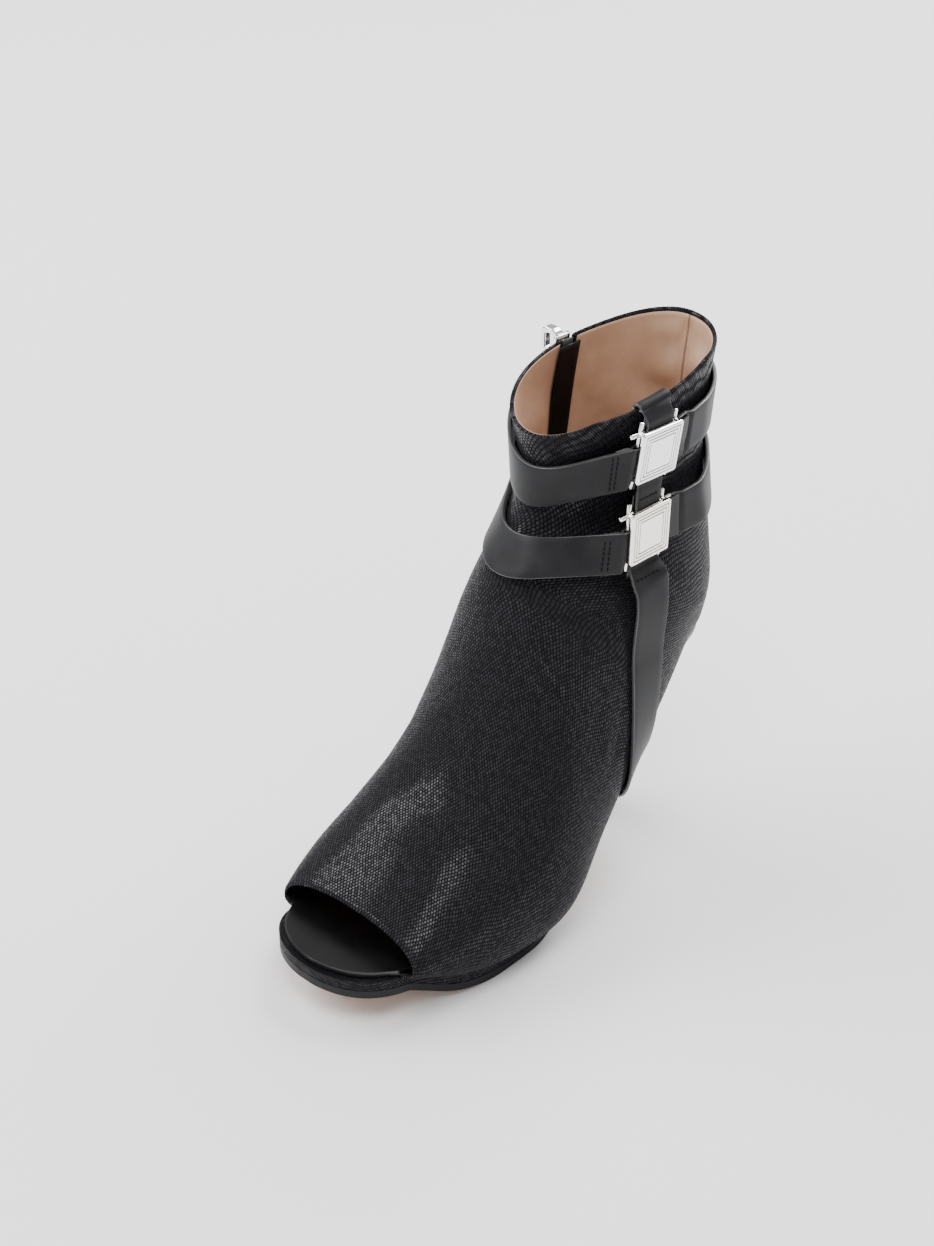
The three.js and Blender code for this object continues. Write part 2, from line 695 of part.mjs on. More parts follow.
// Buckle plates

function plateFrame(plate) {
  const y = plate.place * lastLength;
  const z = heightAt(plate.height);
  const point = shaftPoint(turnAt(y, z, 1), z);
  const [yaw, tilt, roll] = [plate.yaw, plate.tilt, plate.roll].map(THREE.MathUtils.degToRad);
  const out = V(Math.cos(yaw) * Math.cos(tilt), Math.sin(yaw) * Math.cos(tilt), Math.sin(tilt));
  const level = V(-Math.sin(yaw), Math.cos(yaw), 0);
  const plumb = V().crossVectors(out, level);
  const along = level.clone().multiplyScalar(Math.cos(roll)).addScaledVector(plumb, Math.sin(roll));
  const up = plumb.clone().multiplyScalar(Math.cos(roll)).addScaledVector(level, -Math.sin(roll));
  // the plate stands as far off as the loops behind it need
  const reach = plateSide / 2 + barRadius;
  let highest = 0;
  spread(-reach, reach, 6).forEach((a) => spread(-reach, reach, 6).forEach((b) => {
    const { y: backward, z: height } = point.clone().addScaledVector(along, a).addScaledVector(up, b);
    const near = shaftPoint(turnAt(backward, height, 1), height);
    highest = Math.max(highest, near.sub(point).dot(out));
  }));
  const bars = highest + gap + eyeRadius;
  const face = bars + eyeRadius + gap + plateThickness;
  return { point, out, along, up, bars, face };
}
const eyeRadius = barRadius + gap + eyeSkin;
const barPlace = plateSide / 2 - barInset;

// A point of a plate's frame: a along the foot, b up, c out from the shaft
const onPlate = (f, a, b, c) => f.point.clone()
  .addScaledVector(f.along, a).addScaledVector(f.up, b).addScaledVector(f.out, c);

function makePlate(f, hiddenPosts) {
  const slab = new THREE.BoxGeometry(plateSide, plateSide, plateThickness);
  placed(slab, onPlate(f, 0, 0, f.face - plateThickness / 2), f.along, f.up, f.out);
  const reach = plateSide / 2 + postLength;
  const parts = [slab];
  [-1, 1].forEach((side) => {
    const place = side * barPlace;
    const end = (sign, name) => sign * (hiddenPosts.includes(name) ? barPlace : reach);
    const names = side < 0 ? ['frontBottom', 'backBottom'] : ['frontTop', 'backTop'];
    const [left, right] = [end(-1, names[0]), end(1, names[1])];
    parts.push(rod(onPlate(f, place, -reach, f.bars), onPlate(f, place, reach, f.bars), barRadius));
    parts.push(rod(onPlate(f, left, place, f.bars), onPlate(f, right, place, f.bars), barRadius));
    [-1, 1].forEach((other) => {
      const height = f.face - plateThickness / 2 - f.bars;
      const block = new THREE.BoxGeometry(cornerBlock, cornerBlock, height);
      const shift = plateSide / 2 - cornerBlock / 2;
      placed(block, onPlate(f, side * shift, other * shift, f.bars + height / 2), f.along, f.up, f.out);
      parts.push(block);
    });
  });
  const grooves = grooveInsets.map((inset) => {
    const half = plateSide / 2 - inset;
    const square = (h) => [[-h, -h], [h, -h], [h, h], [-h, h]].map(([x, y]) => new THREE.Vector2(x, y));
    const shape = new THREE.Shape(square(half));
    shape.holes.push(new THREE.Path(square(half - grooveWidth)));
    const groove = new THREE.ExtrudeGeometry(shape, { depth: 2 * grooveDepth, bevelEnabled: false });
    return placed(groove, onPlate(f, 0, 0, f.face - grooveDepth), f.along, f.up, f.out);
  });
  return cut(join(...parts), ...grooves);
}

// Straps

// A strap's section is flat between a plate's posts, and bent to the shaft beyond them
const acrossStrap = [-0.5, 0, 0.5];
function flatRing(f) {
  const face = (depth) => acrossStrap.map((k) => f.point.clone()
    .addScaledVector(f.across, k * f.width).addScaledVector(f.out, depth));
  return [...face(f.low), ...face(f.high).reverse()];
}
function strapUp(line, turn) {
  const z = lineHeight(line, turn);
  return shaftPoint(turn, z + 3).sub(shaftPoint(turn, z - 3)).normalize();
}
function bentRing(line, turn, lift) {
  const z = lineHeight(line, turn);
  const rise = strapWidth * strapUp(line, turn).z;
  const face = (off) => acrossStrap.map((k) => shaftPoint(turn, z + k * rise, -off));
  return [...face(gap + lift), ...face(gap + lift + strapThickness).reverse()];
}

const loopEdge = plateSide / 2 + gap; // where a strap is clear of the plate's corners
const pastPosts = plateSide / 2 + postLength + gap;

// The doubled end of a strap, from the plate to the first ring of its free length. sign: which way it
// leaves. drop: middle of its end above the middle of the plate
function strapEnd(f, sign, free, drop) {
  const [low, middle, high] = free.slice(3).reverse();
  const away = middle.clone().sub(f.point);
  const far = Math.abs(away.dot(f.along));
  const freeAcross = high.clone().sub(low).normalize();
  const freeOut = middle.clone().sub(free[1]).normalize();
  return [loopEdge, pastPosts, mix(pastPosts, far, 0.6)].map((a) => {
    const k = clamp01((a - loopEdge) / (far - loopEdge));
    const height = mix(drop, away.dot(f.up), fade(0.2, 1, k));
    const point = onPlate(f, sign * a, height, mix(f.bars + strapThickness, away.dot(f.out), k * k));
    const out = f.out.clone().lerp(freeOut, k).normalize();
    const across = f.up.clone().lerp(freeAcross, k).normalize();
    const width = mix(betweenPosts, strapWidth, clamp01((a - pastPosts) / (far - pastPosts)));
    return bandFrame(point, across, out, 2 * strapThickness, width);
  });
}

const betweenPosts = 2 * (barPlace - barRadius - gap);
const eyeReach = barPlace - eyeRadius - gap; // half length of a loop that clears its neighbours
function eyeLoop(f, sign, low, high) {
  const place = sign * barPlace;
  const ring = rod(onPlate(f, place, low, f.bars), onPlate(f, place, high, f.bars), eyeRadius);
  const boreEnds = [low - 1, high + 1].map((b) => onPlate(f, place, b, f.bars));
  const bore = rod(...boreEnds, barRadius + gap);
  return { ring, bore };
}

const strapSteps = 20;
const strapLift = 0.4; // free length above its clearance
// sign: -1 for the front strap, 1 for the back one. A low strap laps over its plate's lower corner
function makeStrap(line, f, sign, low) {
  const medialHeight = lineHeight(line, -Math.PI / 2);
  const stop = turnAt(zipY(medialHeight) + sign * strapStop, medialHeight, -1);
  const begin = onPlate(f, sign * (barPlace + foldLength), 0, 0);
  const first = turnAt(begin.y, lineHeight(line, Math.PI / 2), 1);
  const last = sign < 0 ? stop : stop + 2 * Math.PI;
  const rings = spread(0, 1, strapSteps).map((k) => {
    const lift = (f.bars - strapThickness - gap) * (1 - fade(0, 0.3, k));
    return bentRing(line, mix(first, last, k), Math.max(0, lift) + strapLift);
  });
  const bar = onPlate(f, sign * barPlace, 0, 0);
  const drop = low ? lineHeight(line, turnAt(bar.y, bar.z, 1)) - bar.z : 0;
  const bottom = Math.max(-eyeReach, drop - betweenPosts / 2);
  const top = Math.min(eyeReach, drop + betweenPosts / 2);
  const loop = eyeLoop(f, sign, bottom, top);
  const neck = [barPlace, loopEdge].map((a) => {
    const point = onPlate(f, sign * a, (bottom + top) / 2, f.bars + strapThickness);
    return bandFrame(point, f.up, f.out, 2 * strapThickness, top - bottom);
  });
  const flat = [...neck, ...strapEnd(f, sign, rings[0], drop)].map(flatRing);
  return cut(join(loft([...flat, ...rings]), loop.ring), loop.bore);
}

const bandDoubled = 1.6 * bandThickness; // next to a bar
const neckStart = 1; // start of a band, from the middle of its bar
const neckEnd = 4; // end of its doubled part
// A loop around a level bar of a plate
function levelEye(f, sign) {
  const half = Math.min(bandWidth / 2, eyeReach);
  const place = sign * barPlace;
  const ring = rod(onPlate(f, -half, place, f.bars), onPlate(f, half, place, f.bars), eyeRadius);
  const boreEnds = [-half - 1, half + 1].map((a) => onPlate(f, a, place, f.bars));
  const bore = rod(...boreEnds, barRadius + gap);
  return { ring, bore, half };
}

function bandFrame(point, across, out, thickness, width = bandWidth) {
  return { point, across, out, width, low: -thickness, high: 0 };
}

// How far the collar reaches from its outer face at a turn, over a width
function clearance(turn, edge, width, level) {
  const origin = shaftPoint(turn, edge - 1);
  const found = { outside: 0, inside: 0, above: 0 };
  spread(-0.5, 0.5, 8).forEach((k) => spread(0, topTuck, 3).forEach((down) => {
    const other = turnAt(origin.y + k * width, edge - 1 - down, 1);
    const z = Math.min(collarHeight(other), edge) - down;
    found.outside = Math.max(found.outside, shaftPoint(other, z).sub(origin).dot(level));
    found.inside = Math.min(found.inside, shaftPoint(other, z, wall).sub(origin).dot(level));
    found.above = Math.max(found.above, collarHeight(other) - edge);
  }));
  return found;
}

// From the upper plate over the collar's edge, and down its inside as far as topTuck
const topTuck = 12;
function makeStrapTop(f) {
  const loop = levelEye(f, 1);
  const width = 2 * loop.half;
  const start = onPlate(f, 0, barPlace + neckStart, f.bars + bandThickness);
  const turn = turnAt(start.y, collarHeight(Math.PI / 2) - 2, 1);
  const edge = collarHeight(turn);
  const across = V(0, 1, 0).applyAxisAngle(V(0, 0, 1), THREE.MathUtils.degToRad(upperPlate.yaw));
  const level = V().crossVectors(across, V(0, 0, 1)).normalize();
  const clear = clearance(turn, edge, width, level);
  const wallFace = shaftPoint(turn, edge - 1).x;
  const outer = wallFace + clear.outside + 2 * gap + bandThickness;
  const inner = wallFace + clear.inside - gap;
  const top = edge + clear.above + gap;
  // inset, up: in band thicknesses. lean: angle of the outer face from level, in degrees
  const over = [
    { from: outer, inset: 0, up: -1, lean: 0 },
    { from: outer, inset: 0, up: 0, lean: 22 },
    { from: outer, inset: 0.4, up: 1, lean: 53 },
    { from: inner, inset: 0.4, up: 1, lean: 127 },
    { from: inner, inset: 1, up: 0, lean: 158 },
    { from: inner, inset: 1, up: -topTuck / bandThickness, lean: 180 },
  ];
  const above = onPlate(f, 0, barPlace + neckEnd, f.bars + bandThickness);
  const frames = [start, above].map((point) => bandFrame(point, across, f.out, bandDoubled, width));
  over.forEach((row) => {
    const lean = THREE.MathUtils.degToRad(row.lean);
    const out = level.clone().multiplyScalar(Math.cos(lean)).addScaledVector(V(0, 0, 1), Math.sin(lean));
    const point = V(row.from - row.inset * bandThickness, start.y, top + row.up * bandThickness);
    frames.push(bandFrame(point, across, out, bandThickness, width));
  });
  return cut(join(band(frames), loop.ring), loop.bore);
}

function makeStrapMid(top, bottom) {
  const [a, b] = [levelEye(top, -1), levelEye(bottom, 1)];
  const width = 2 * Math.min(a.half, b.half) - 2 * gap;
  const from = onPlate(top, 0, -barPlace - neckStart, top.bars + bandThickness / 2);
  const to = onPlate(bottom, 0, barPlace + neckStart, bottom.bars + bandThickness / 2);
  const frames = spread(0, 1, 3).map((k) => {
    const out = top.out.clone().lerp(bottom.out, k).normalize();
    const across = top.along.clone().lerp(bottom.along, k).normalize();
    return bandFrame(from.clone().lerp(to, k), across, out, bandThickness, width);
  });
  return cut(join(band(frames), a.ring, b.ring), a.bore, b.bore);
}

// The lateral wall of the foot where a section's turn reaches y
function sidePoint(y, turn) {
  const s = (1 + Math.cos(turn)) / 2;
  const t = solve((k) => mix(at('botY', k), at('topY', k), s), y, opening, collar);
  return skin(t, turn);
}

const sideSteps = 18;
const bandLift = 0.15; // the side band above its clearance
const tuck = 0.16; // how far short of the feather line the band turns under, as a turn
function makeStrapDown(f) {
  const loop = levelEye(f, -1);
  const start = onPlate(f, 0, -barPlace - neckStart, f.bars + bandThickness);
  const placeKnots = column(sideBand, 'drop');
  const places = column(sideBand, 'place', lastLength);
  const shift = start.y - places[0];
  const below = onPlate(f, 0, -barPlace - neckEnd, f.bars + bandThickness);
  const frames = [
    bandFrame(start, f.along, f.out, bandDoubled, 2 * loop.half),
    bandFrame(below, f.along, f.out, bandDoubled, betweenPosts),
  ];
  const from = solve((turn) => -sidePoint(start.y, turn).z, foldLength - start.z, 0.5, Math.PI - tuck);
  spread(0, 1, sideSteps).forEach((k) => {
    const turn = mix(from, Math.PI - tuck, k);
    const y = smooth(placeKnots, places, k) + shift * (1 - k);
    const point = sidePoint(y, turn);
    const up = sidePoint(y, turn - 0.03).sub(sidePoint(y, turn + 0.03)).normalize();
    const across = sidePoint(y + 3, turn).sub(sidePoint(y - 3, turn));
    across.addScaledVector(up, -across.dot(up)).normalize();
    const out = V().crossVectors(across, up).normalize();
    let clear = 0;
    spread(-0.5, 0.5, 6).forEach((w) => [-2, 0, 2].forEach((rise) => {
      const place = y + w * bandWidth * across.y;
      const down = (a) => point.clone().sub(sidePoint(place, a)).dot(up);
      const near = sidePoint(place, solve(down, -rise, turn - 0.6, Math.min(Math.PI, turn + 0.6)));
      clear = Math.max(clear, near.sub(point).dot(out));
    }));
    const lift = (f.bars - eyeRadius) * (1 - fade(0, 0.25, k));
    point.addScaledVector(out, clear + gap + bandLift + lift + bandThickness);
    frames.push(bandFrame(point, across, out, bandThickness));
  });
  return cut(join(band(frames), loop.ring), loop.bore);
}

// Materials and assembly

const finishes = {
  embossedLeather: { color: 0x1c1b1e, roughness: 0.5, metalness: 0 },
  smoothLeather: { color: 0x1b1b1d, roughness: 0.45, metalness: 0 },
  footbedLeather: { color: 0x1d1d1f, roughness: 0.5, metalness: 0 },
  soleLeather: { color: 0x9a7350, roughness: 0.7, metalness: 0 },
  heelCover: { color: 0x18181a, roughness: 0.4, metalness: 0 },
  tipRubber: { color: 0x111111, roughness: 0.8, metalness: 0 },
  plateMetal: { color: 0xd8d4c8, roughness: 0.15, metalness: 1 },
  zipMetal: { color: 0xd0d2d6, roughness: 0.15, metalness: 1 },
  zipCloth: { color: 0x0e0e0f, roughness: 0.9, metalness: 0 },
};

const boot = new THREE.Group();
function add(name, finish, geometry) {
  const mesh = new THREE.Mesh(geometry, new THREE.MeshStandardMaterial(finishes[finish]));
  mesh.name = name;
  boot.add(mesh);
}

const topPlate = plateFrame(upperPlate);
const bottomPlate = plateFrame(lowerPlate);

add('upper', 'embossedLeather', makeUpper());
add('outsole', 'soleLeather', makeOutsole());
add('platform', 'embossedLeather', makePlatform());
add('footbed', 'footbedLeather', makeFootbed());
add('heel', 'heelCover', makeHeel());
add('heel_tip', 'tipRubber', makeHeelTip());
add('strap_upper_front', 'smoothLeather', makeStrap(upperStrapLine, topPlate, -1, true));
add('strap_upper_back', 'smoothLeather', makeStrap(upperStrapLine, topPlate, 1, false));
add('strap_lower_front', 'smoothLeather', makeStrap(lowerStrapLine, bottomPlate, -1, true));
add('strap_lower_back', 'smoothLeather', makeStrap(lowerStrapLine, bottomPlate, 1, false));
add('strap_top', 'smoothLeather', makeStrapTop(topPlate));
add('strap_mid', 'smoothLeather', makeStrapMid(topPlate, bottomPlate));
add('strap_down', 'smoothLeather', makeStrapDown(bottomPlate));
add('plate_upper', 'plateMetal', makePlate(topPlate, ['frontBottom', 'backTop']));
add('plate_lower', 'plateMetal', makePlate(bottomPlate, ['frontBottom']));
add('zip_tape', 'zipCloth', makeZipTape());
add('zip_guard', 'zipCloth', makeZipGuard());
add('zip_slider', 'zipMetal', makeZipSlider());
add('zip_pull', 'zipMetal', makeZipPull());

export default boot;
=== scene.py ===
import math

import bpy
import numpy as np
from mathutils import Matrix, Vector


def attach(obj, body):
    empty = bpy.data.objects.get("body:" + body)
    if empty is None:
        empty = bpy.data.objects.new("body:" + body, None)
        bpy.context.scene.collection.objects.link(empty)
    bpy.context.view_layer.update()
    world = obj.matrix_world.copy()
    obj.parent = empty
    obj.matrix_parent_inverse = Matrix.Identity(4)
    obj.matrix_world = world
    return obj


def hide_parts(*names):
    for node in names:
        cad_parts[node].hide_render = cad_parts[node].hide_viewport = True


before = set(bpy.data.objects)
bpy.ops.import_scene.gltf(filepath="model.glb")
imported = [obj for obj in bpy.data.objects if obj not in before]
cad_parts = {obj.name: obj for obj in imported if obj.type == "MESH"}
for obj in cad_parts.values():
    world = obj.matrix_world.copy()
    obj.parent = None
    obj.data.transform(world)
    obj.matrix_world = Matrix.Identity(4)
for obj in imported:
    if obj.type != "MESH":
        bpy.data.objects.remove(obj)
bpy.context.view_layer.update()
mm = 0.001  # lengths below are in millimetres, and meshes are made in metres


def table(headings, *rows):
    # rows of numbers, each a dictionary with the headings as keys
    return [dict(zip(headings.split(), row)) for row in rows]


# The last, the same sizes as the part
lastLength, ballWidth, treadWidth = 213.2, 93.5, 78
heelRise, instepHeight, shaftHeight = 87, 72, 123.8
gap, wall = 0.3, 1.8
soleThickness, platformThickness, platformEdge, platformEnd = 3, 4, 0.9, 42
featherHeight = soleThickness + gap + platformThickness + gap
seatHeight = featherHeight + heelRise
opening, arch, corner, counter, collar = 1, 5, 8, 9, 12  # stations
toeRoundness = 2.3
stations = table(
    "topY tall botY rise up",
    (-0.29, 0.06, -0.334, 0.165, 0),  # tip
    (-0.214, 0.213, -0.234, 0.13, 0),  # opening
    (-0.119, 0.515, -0.127, 0.039, 0),  # toes
    (-0.025, 0.758, 0, 0, 0),  # ball
    (0.052, 0.995, 0.131, 0.037, 0),  # waist
    (0.109, 1.096, 0.272, 0.252, 0),  # arch
    (0.154, 1.013, 0.413, 0.612, 0),  # back of the arch
    (0.198, 0.931, 0.535, 0.877, 0),  # seat
    (0.236, 0.927, 0.664, 1, 0),  # corner
    (0.254, 0.693, 0.684, 1, 0.226),  # counter
    (0.254, 0.391, 0.668, 1, 0.497),  # ankle
    (0.246, 0.083, 0.668, 1, 0.757),  # shaft
    (0.226, -0.21, 0.69, 1, 1),  # collar
)
sections = table(
    "outer inner wide full fullInner",
    (0.25, 0.24, 0.24, 2.3, 2.3),
    (0.384, 0.369, 0.24, 2.3, 2.3),
    (0.462, 0.453, 0.24, 2.2, 2.2),
    (0.528, 0.472, 0.28, 2.1, 2.1),
    (0.555, 0.448, 0.3, 2, 2),
    (0.484, 0.415, 0.33, 2, 2),
    (0.46, 0.39, 0.36, 2, 2),
    (0.436, 0.356, 0.4, 1.85, 2),
    (0.404, 0.335, 0.45, 1.6, 1.95),
    (0.356, 0.328, 0.48, 1.6, 1.9),
    (0.318, 0.32, 0.5, 1.75, 1.9),
    (0.32, 0.312, 0.5, 1.85, 1.95),
    (0.342, 0.294, 0.5, 2, 2),
)
tread = table(
    "place lateral medial",
    (-0.211, 0.379, 0.376),
    (-0.117, 0.5, 0.46),
    (0, 0.532, 0.468),
    (0.117, 0.512, 0.4),
    (0.235, 0.42, 0.31),
    (0.375, 0.356, 0.272),
    (0.516, 0.346, 0.3),
    (0.586, 0.302, 0.282),
)
collarEdge = table(
    "front lateral medial",
    (0, 0.955, 0.955),
    (0.25, 0.96, 0.928),
    (0.5, 0.963, 0.915),
    (0.75, 0.931, 0.895),
    (1, 0.838, 0.838),
)


def column(rows, name, scale=1):
    return np.array([row[name] * scale for row in rows], float)


def mix(a, b, k):
    return a + (b - a) * k


def fade(start, end, x):
    k = np.clip((x - start) / (end - start), 0, 1)
    return k * k * (3 - 2 * k)


def smooth(knots, values, x):
    # cubic through the knots, with tangents taken from the neighbours
    x = np.asarray(x, float)
    last = len(knots) - 1
    each = np.arange(last + 1)
    before, after = np.maximum(each - 1, 0), np.minimum(each + 1, last)
    slope = (values[after] - values[before]) / (knots[after] - knots[before])
    i = np.clip(np.searchsorted(knots, x, side="left") - 1, 0, last - 1)
    h = knots[i + 1] - knots[i]
    q = (x - knots[i]) / h
    q2, q3 = q * q, q * q * q
    ends = values[i] * (2 * q3 - 3 * q2 + 1) + values[i + 1] * (3 * q2 - 2 * q3)
    return ends + h * (slope[i] * (q3 - 2 * q2 + q) + slope[i + 1] * (q3 - q2))


def solve(f, target, low, high, steps=34):
    # where a rising function reaches a value, for whole arrays at once
    a, b = np.broadcast_to(low, np.shape(target)) * 1.0, np.broadcast_to(high, np.shape(target)) * 1.0
    for _ in range(steps):
        middle = (a + b) / 2
        below = f(middle) < target
        a, b = np.where(below, middle, a), np.where(below, b, middle)
    return (a + b) / 2


each = np.arange(len(stations), dtype=float)
lines = {
    "topY": column(stations, "topY", lastLength),
    "botY": column(stations, "botY", lastLength),
    "botZ": featherHeight + column(stations, "rise", heelRise) + column(stations, "up", shaftHeight),
    "outer": column(sections, "outer", ballWidth),
    "inner": column(sections, "inner", ballWidth),
    "wide": column(sections, "wide"),
    "full": column(sections, "full"),
    "fullInner": column(sections, "fullInner"),
}
lines["topZ"] = lines["botZ"] + column(stations, "tall", instepHeight)
treadPlaces = column(tread, "place", lastLength)
treadLateral, treadMedial = column(tread, "lateral", treadWidth), column(tread, "medial", treadWidth)
toeEnd, heelEnd = lines["botY"][0], lines["botY"][corner]
toeRound, heelRound = treadPlaces[0], treadPlaces[-1]


def at(name, t):
    return smooth(each, lines[name], t)


def feather(y, side, shortToe=0, shortHeel=0):
    # half width of the feather line at y, side 1 lateral and -1 medial
    y, side = np.asarray(y, float), np.asarray(side, float)
    lateral = side > 0
    inside = np.clip(y, toeRound, heelRound)
    width = np.where(lateral, smooth(treadPlaces, treadLateral, inside),
                     smooth(treadPlaces, treadMedial, inside))
    k = np.clip((toeRound - y) / (toeRound - toeEnd - shortToe), 0, 1)
    width = width * np.where(y < toeRound, np.sqrt(1 - k**toeRoundness), 1)
    k = np.clip((y - heelRound) / (heelEnd - shortHeel - heelRound), 0, 1)
    return width * np.where(y > heelRound, np.sqrt(1 - k * k), 1)


def featherZ(y):
    return at("botZ", solve(lambda t: at("botY", t), np.asarray(y, float), 0, corner))


def sectionX(t, s, side):
    w = np.where(side > 0, at("outer", t), at("inner", t))
    foot = np.where(t < corner, np.minimum(feather(at("botY", np.minimum(t, corner)), side), w - 0.01), 0)
    wide = at("wide", t)
    full = np.where(side > 0, at("full", t), at("fullInner", t))
    k = np.clip(1 - s / wide, 0, 1)
    roundness = np.sqrt(1 - k * k)
    settle = 1 + np.clip((t - corner + 2) / 2, 0, 1) ** 2
    lower = w * roundness + foot * (1 - roundness) ** settle
    k = np.clip((s - wide) / (1 - wide), 0, 1)
    upper = w * np.maximum(0, 1 - k**full) ** (1 / full)
    return np.where(s < wide, lower, upper)


def skin(t, turn, inset=0.0):
    # a point of the upper's outer face: turn 0 at the ridge, pi at the feather line, positive lateral
    t, turn, inset = np.broadcast_arrays(*(np.asarray(v, float) for v in (t, turn, inset)))
    side = np.where(np.sin(turn) >= 0, 1.0, -1.0)
    s = (1 + np.cos(turn)) / 2
    rise = np.stack([at("topY", t) - at("botY", t), at("topZ", t) - at("botZ", t)], -1)
    length = np.linalg.norm(rise, axis=-1)
    rise = rise / length[..., None]
    step, tiny = 1e-4, 1e-9
    low, high = np.maximum(0, s - step), np.minimum(1, s + step)
    slope = (sectionX(t, high, side) - sectionX(t, low, side)) / ((high - low) * length)
    scale = inset / np.hypot(1, slope)
    x = np.maximum(0, sectionX(t, s, side) - scale)
    up = s * length + scale * slope
    top, bottom = s > 1 - tiny, s < tiny
    x = np.where(top, 0, np.where(bottom, sectionX(t, 0 * s, side), x))
    up = np.where(top, length - inset, np.where(bottom, inset, up))
    y, z = at("botY", t) + up * rise[..., 0], at("botZ", t) + up * rise[..., 1]
    return np.stack([x * side, y, z], -1)


def heightAt(share):
    return seatHeight + share * shaftHeight


def lineHeight(line, turn, name="height"):
    front = (1 + np.cos(turn)) / 2
    return heightAt(smooth(column(line, "front"), column(line, name), front))


def collarHeight(turn):
    lateral, medial = lineHeight(collarEdge, turn, "lateral"), lineHeight(collarEdge, turn, "medial")
    return np.where(np.sin(turn) >= 0, lateral, medial)


def ringAt(turn, z):
    s = (1 + np.cos(turn)) / 2
    return solve(lambda t: mix(at("botZ", t), at("topZ", t), s), z, arch, collar)


def shaftPoint(turn, z, inset=0.0):
    turn, z = np.broadcast_arrays(np.asarray(turn, float), np.asarray(z, float))
    return skin(ringAt(turn, z), turn, inset)


def turnAt(y, z, side, least=0.02):
    # the turn of the shaft's point at y and z, short of the ridge and the back by the least turn
    y, z = np.broadcast_arrays(np.asarray(y, float), np.asarray(z, float))
    return side * solve(lambda a: shaftPoint(side * a, z)[..., 1], y, least, math.pi - least)


def unit(v):
    return v / np.linalg.norm(v, axis=-1, keepdims=True)


print("the last is set out")


# Meshes

def piece(name, points, faces, material, replaces=(), body="root", marks=None, flat=False):
    # an object of the part: points in millimetres, marks are values kept on the points
    mesh = bpy.data.meshes.new(name)
    mesh.from_pydata((np.asarray(points) * mm).tolist(), [], [list(map(int, f)) for f in faces])
    for mark, values in (marks or {}).items():
        values = np.asarray(values, np.float32)
        kind = "FLOAT_VECTOR" if values.ndim == 2 else "FLOAT"
        layer = mesh.attributes.new(mark, kind, "POINT")
        layer.data.foreach_set("vector" if values.ndim == 2 else "value", values.ravel())
    mesh.validate()
    mesh.polygons.foreach_set("use_smooth", [not flat] * len(mesh.polygons))
    made = bpy.data.objects.new(name, mesh)
    bpy.context.scene.collection.objects.link(made)
    mesh.materials.append(material)
    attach(made, body)
    if replaces:
        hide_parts(*replaces)
    return made


def roundEdges(made, width, angle=35, segments=2):
    bevel = made.modifiers.new("round", "BEVEL")
    bevel.width, bevel.segments, bevel.angle_limit = width * mm, segments, math.radians(angle)
    bevel.harden_normals = True
    return made


def tube(rings, closed=False):
    # faces through rings of equally many points, with both ends capped unless it closes on itself
    n, m = rings.shape[:2]
    i, j = np.meshgrid(np.arange(n if closed else n - 1), np.arange(m), indexing="ij")
    k, q = (i + 1) % n, (j + 1) % m
    faces = np.stack([i * m + j, i * m + q, k * m + q, k * m + j], -1).reshape(-1, 4).tolist()
    if not closed:
        faces += [list(range(m))[::-1], [(n - 1) * m + c for c in range(m)]]
    return rings.reshape(-1, 3), faces


def joined(parts):
    points, faces, count = [], [], 0
    for p, f in parts:
        points.append(p)
        faces += [[c + count for c in face] for face in f]
        count += len(p)
    return np.concatenate(points), faces


def sheetShell(outer, inner, keep, closedFrom):
    # closed wall between two grids of points, joined at the back from a row on
    # cells out of keep are left open
    n, m = outer.shape[:2]
    number = np.arange(n * m).reshape(n, m)
    number[closedFrom:, -1] = number[closedFrom:, 0]
    i, j = np.nonzero(keep)
    quads = np.stack([number[i, j], number[i, j + 1], number[i + 1, j + 1], number[i + 1, j]], -1)
    edges = dict.fromkeys((a, b) for face in quads.tolist() for a, b in zip(face, face[1:] + face[:1]))
    rim = [(a, b) for a, b in edges if (b, a) not in edges]
    count = n * m
    faces = quads.tolist() + (quads[:, ::-1] + count).tolist()
    faces += [[b, a, a + count, b + count] for a, b in rim]
    points = np.concatenate([outer.reshape(-1, 3), inner.reshape(-1, 3)])
    used = np.unique(np.array([c for face in faces for c in face]))
    fresh = np.full(len(points), -1)
    fresh[used] = np.arange(len(used))
    return points[used], [[int(fresh[c]) for c in face] for face in faces], used


def roundedOutline(width, thick, radius, steps=3):
    # a strip's section: across from -width/2 to width/2, out from -thick to 0
    points = []
    for cx, cy, start in ((1, 0, 0), (-1, 0, 90), (-1, -1, 180), (1, -1, 270)):
        for k in range(steps + 1):
            a = math.radians(start + 90 * k / steps)
            x = cx * (width / 2 - radius) + radius * math.cos(a)
            y = (-radius if cy == 0 else radius - thick) + radius * math.sin(a)
            points.append((x, y))
    flat = []
    count = len(points)
    for k in range(count):
        a, b = points[k], points[(k + 1) % count]
        flat.append(a)
        if math.dist(a, b) > 2 * radius:  # more points on the flats, so that they bend with the foot
            pieces = 6 if abs(a[0] - b[0]) > abs(a[1] - b[1]) else 1
            flat += [(mix(a[0], b[0], q / pieces), mix(a[1], b[1], q / pieces)) for q in range(1, pieces)]
    return np.array(flat)


strapEdge = 0.4  # radius of a strap's edges


def stripRings(frames, radius=strapEdge):
    # frames: point on the show side, across, out, width, thick
    rings = []
    for f in frames:
        outline = roundedOutline(f["width"], f["thick"], min(radius, 0.48 * f["thick"]))
        rings.append(f["point"] + outline[:, :1] * f["across"] + outline[:, 1:] * f["out"])
    return np.array(rings)


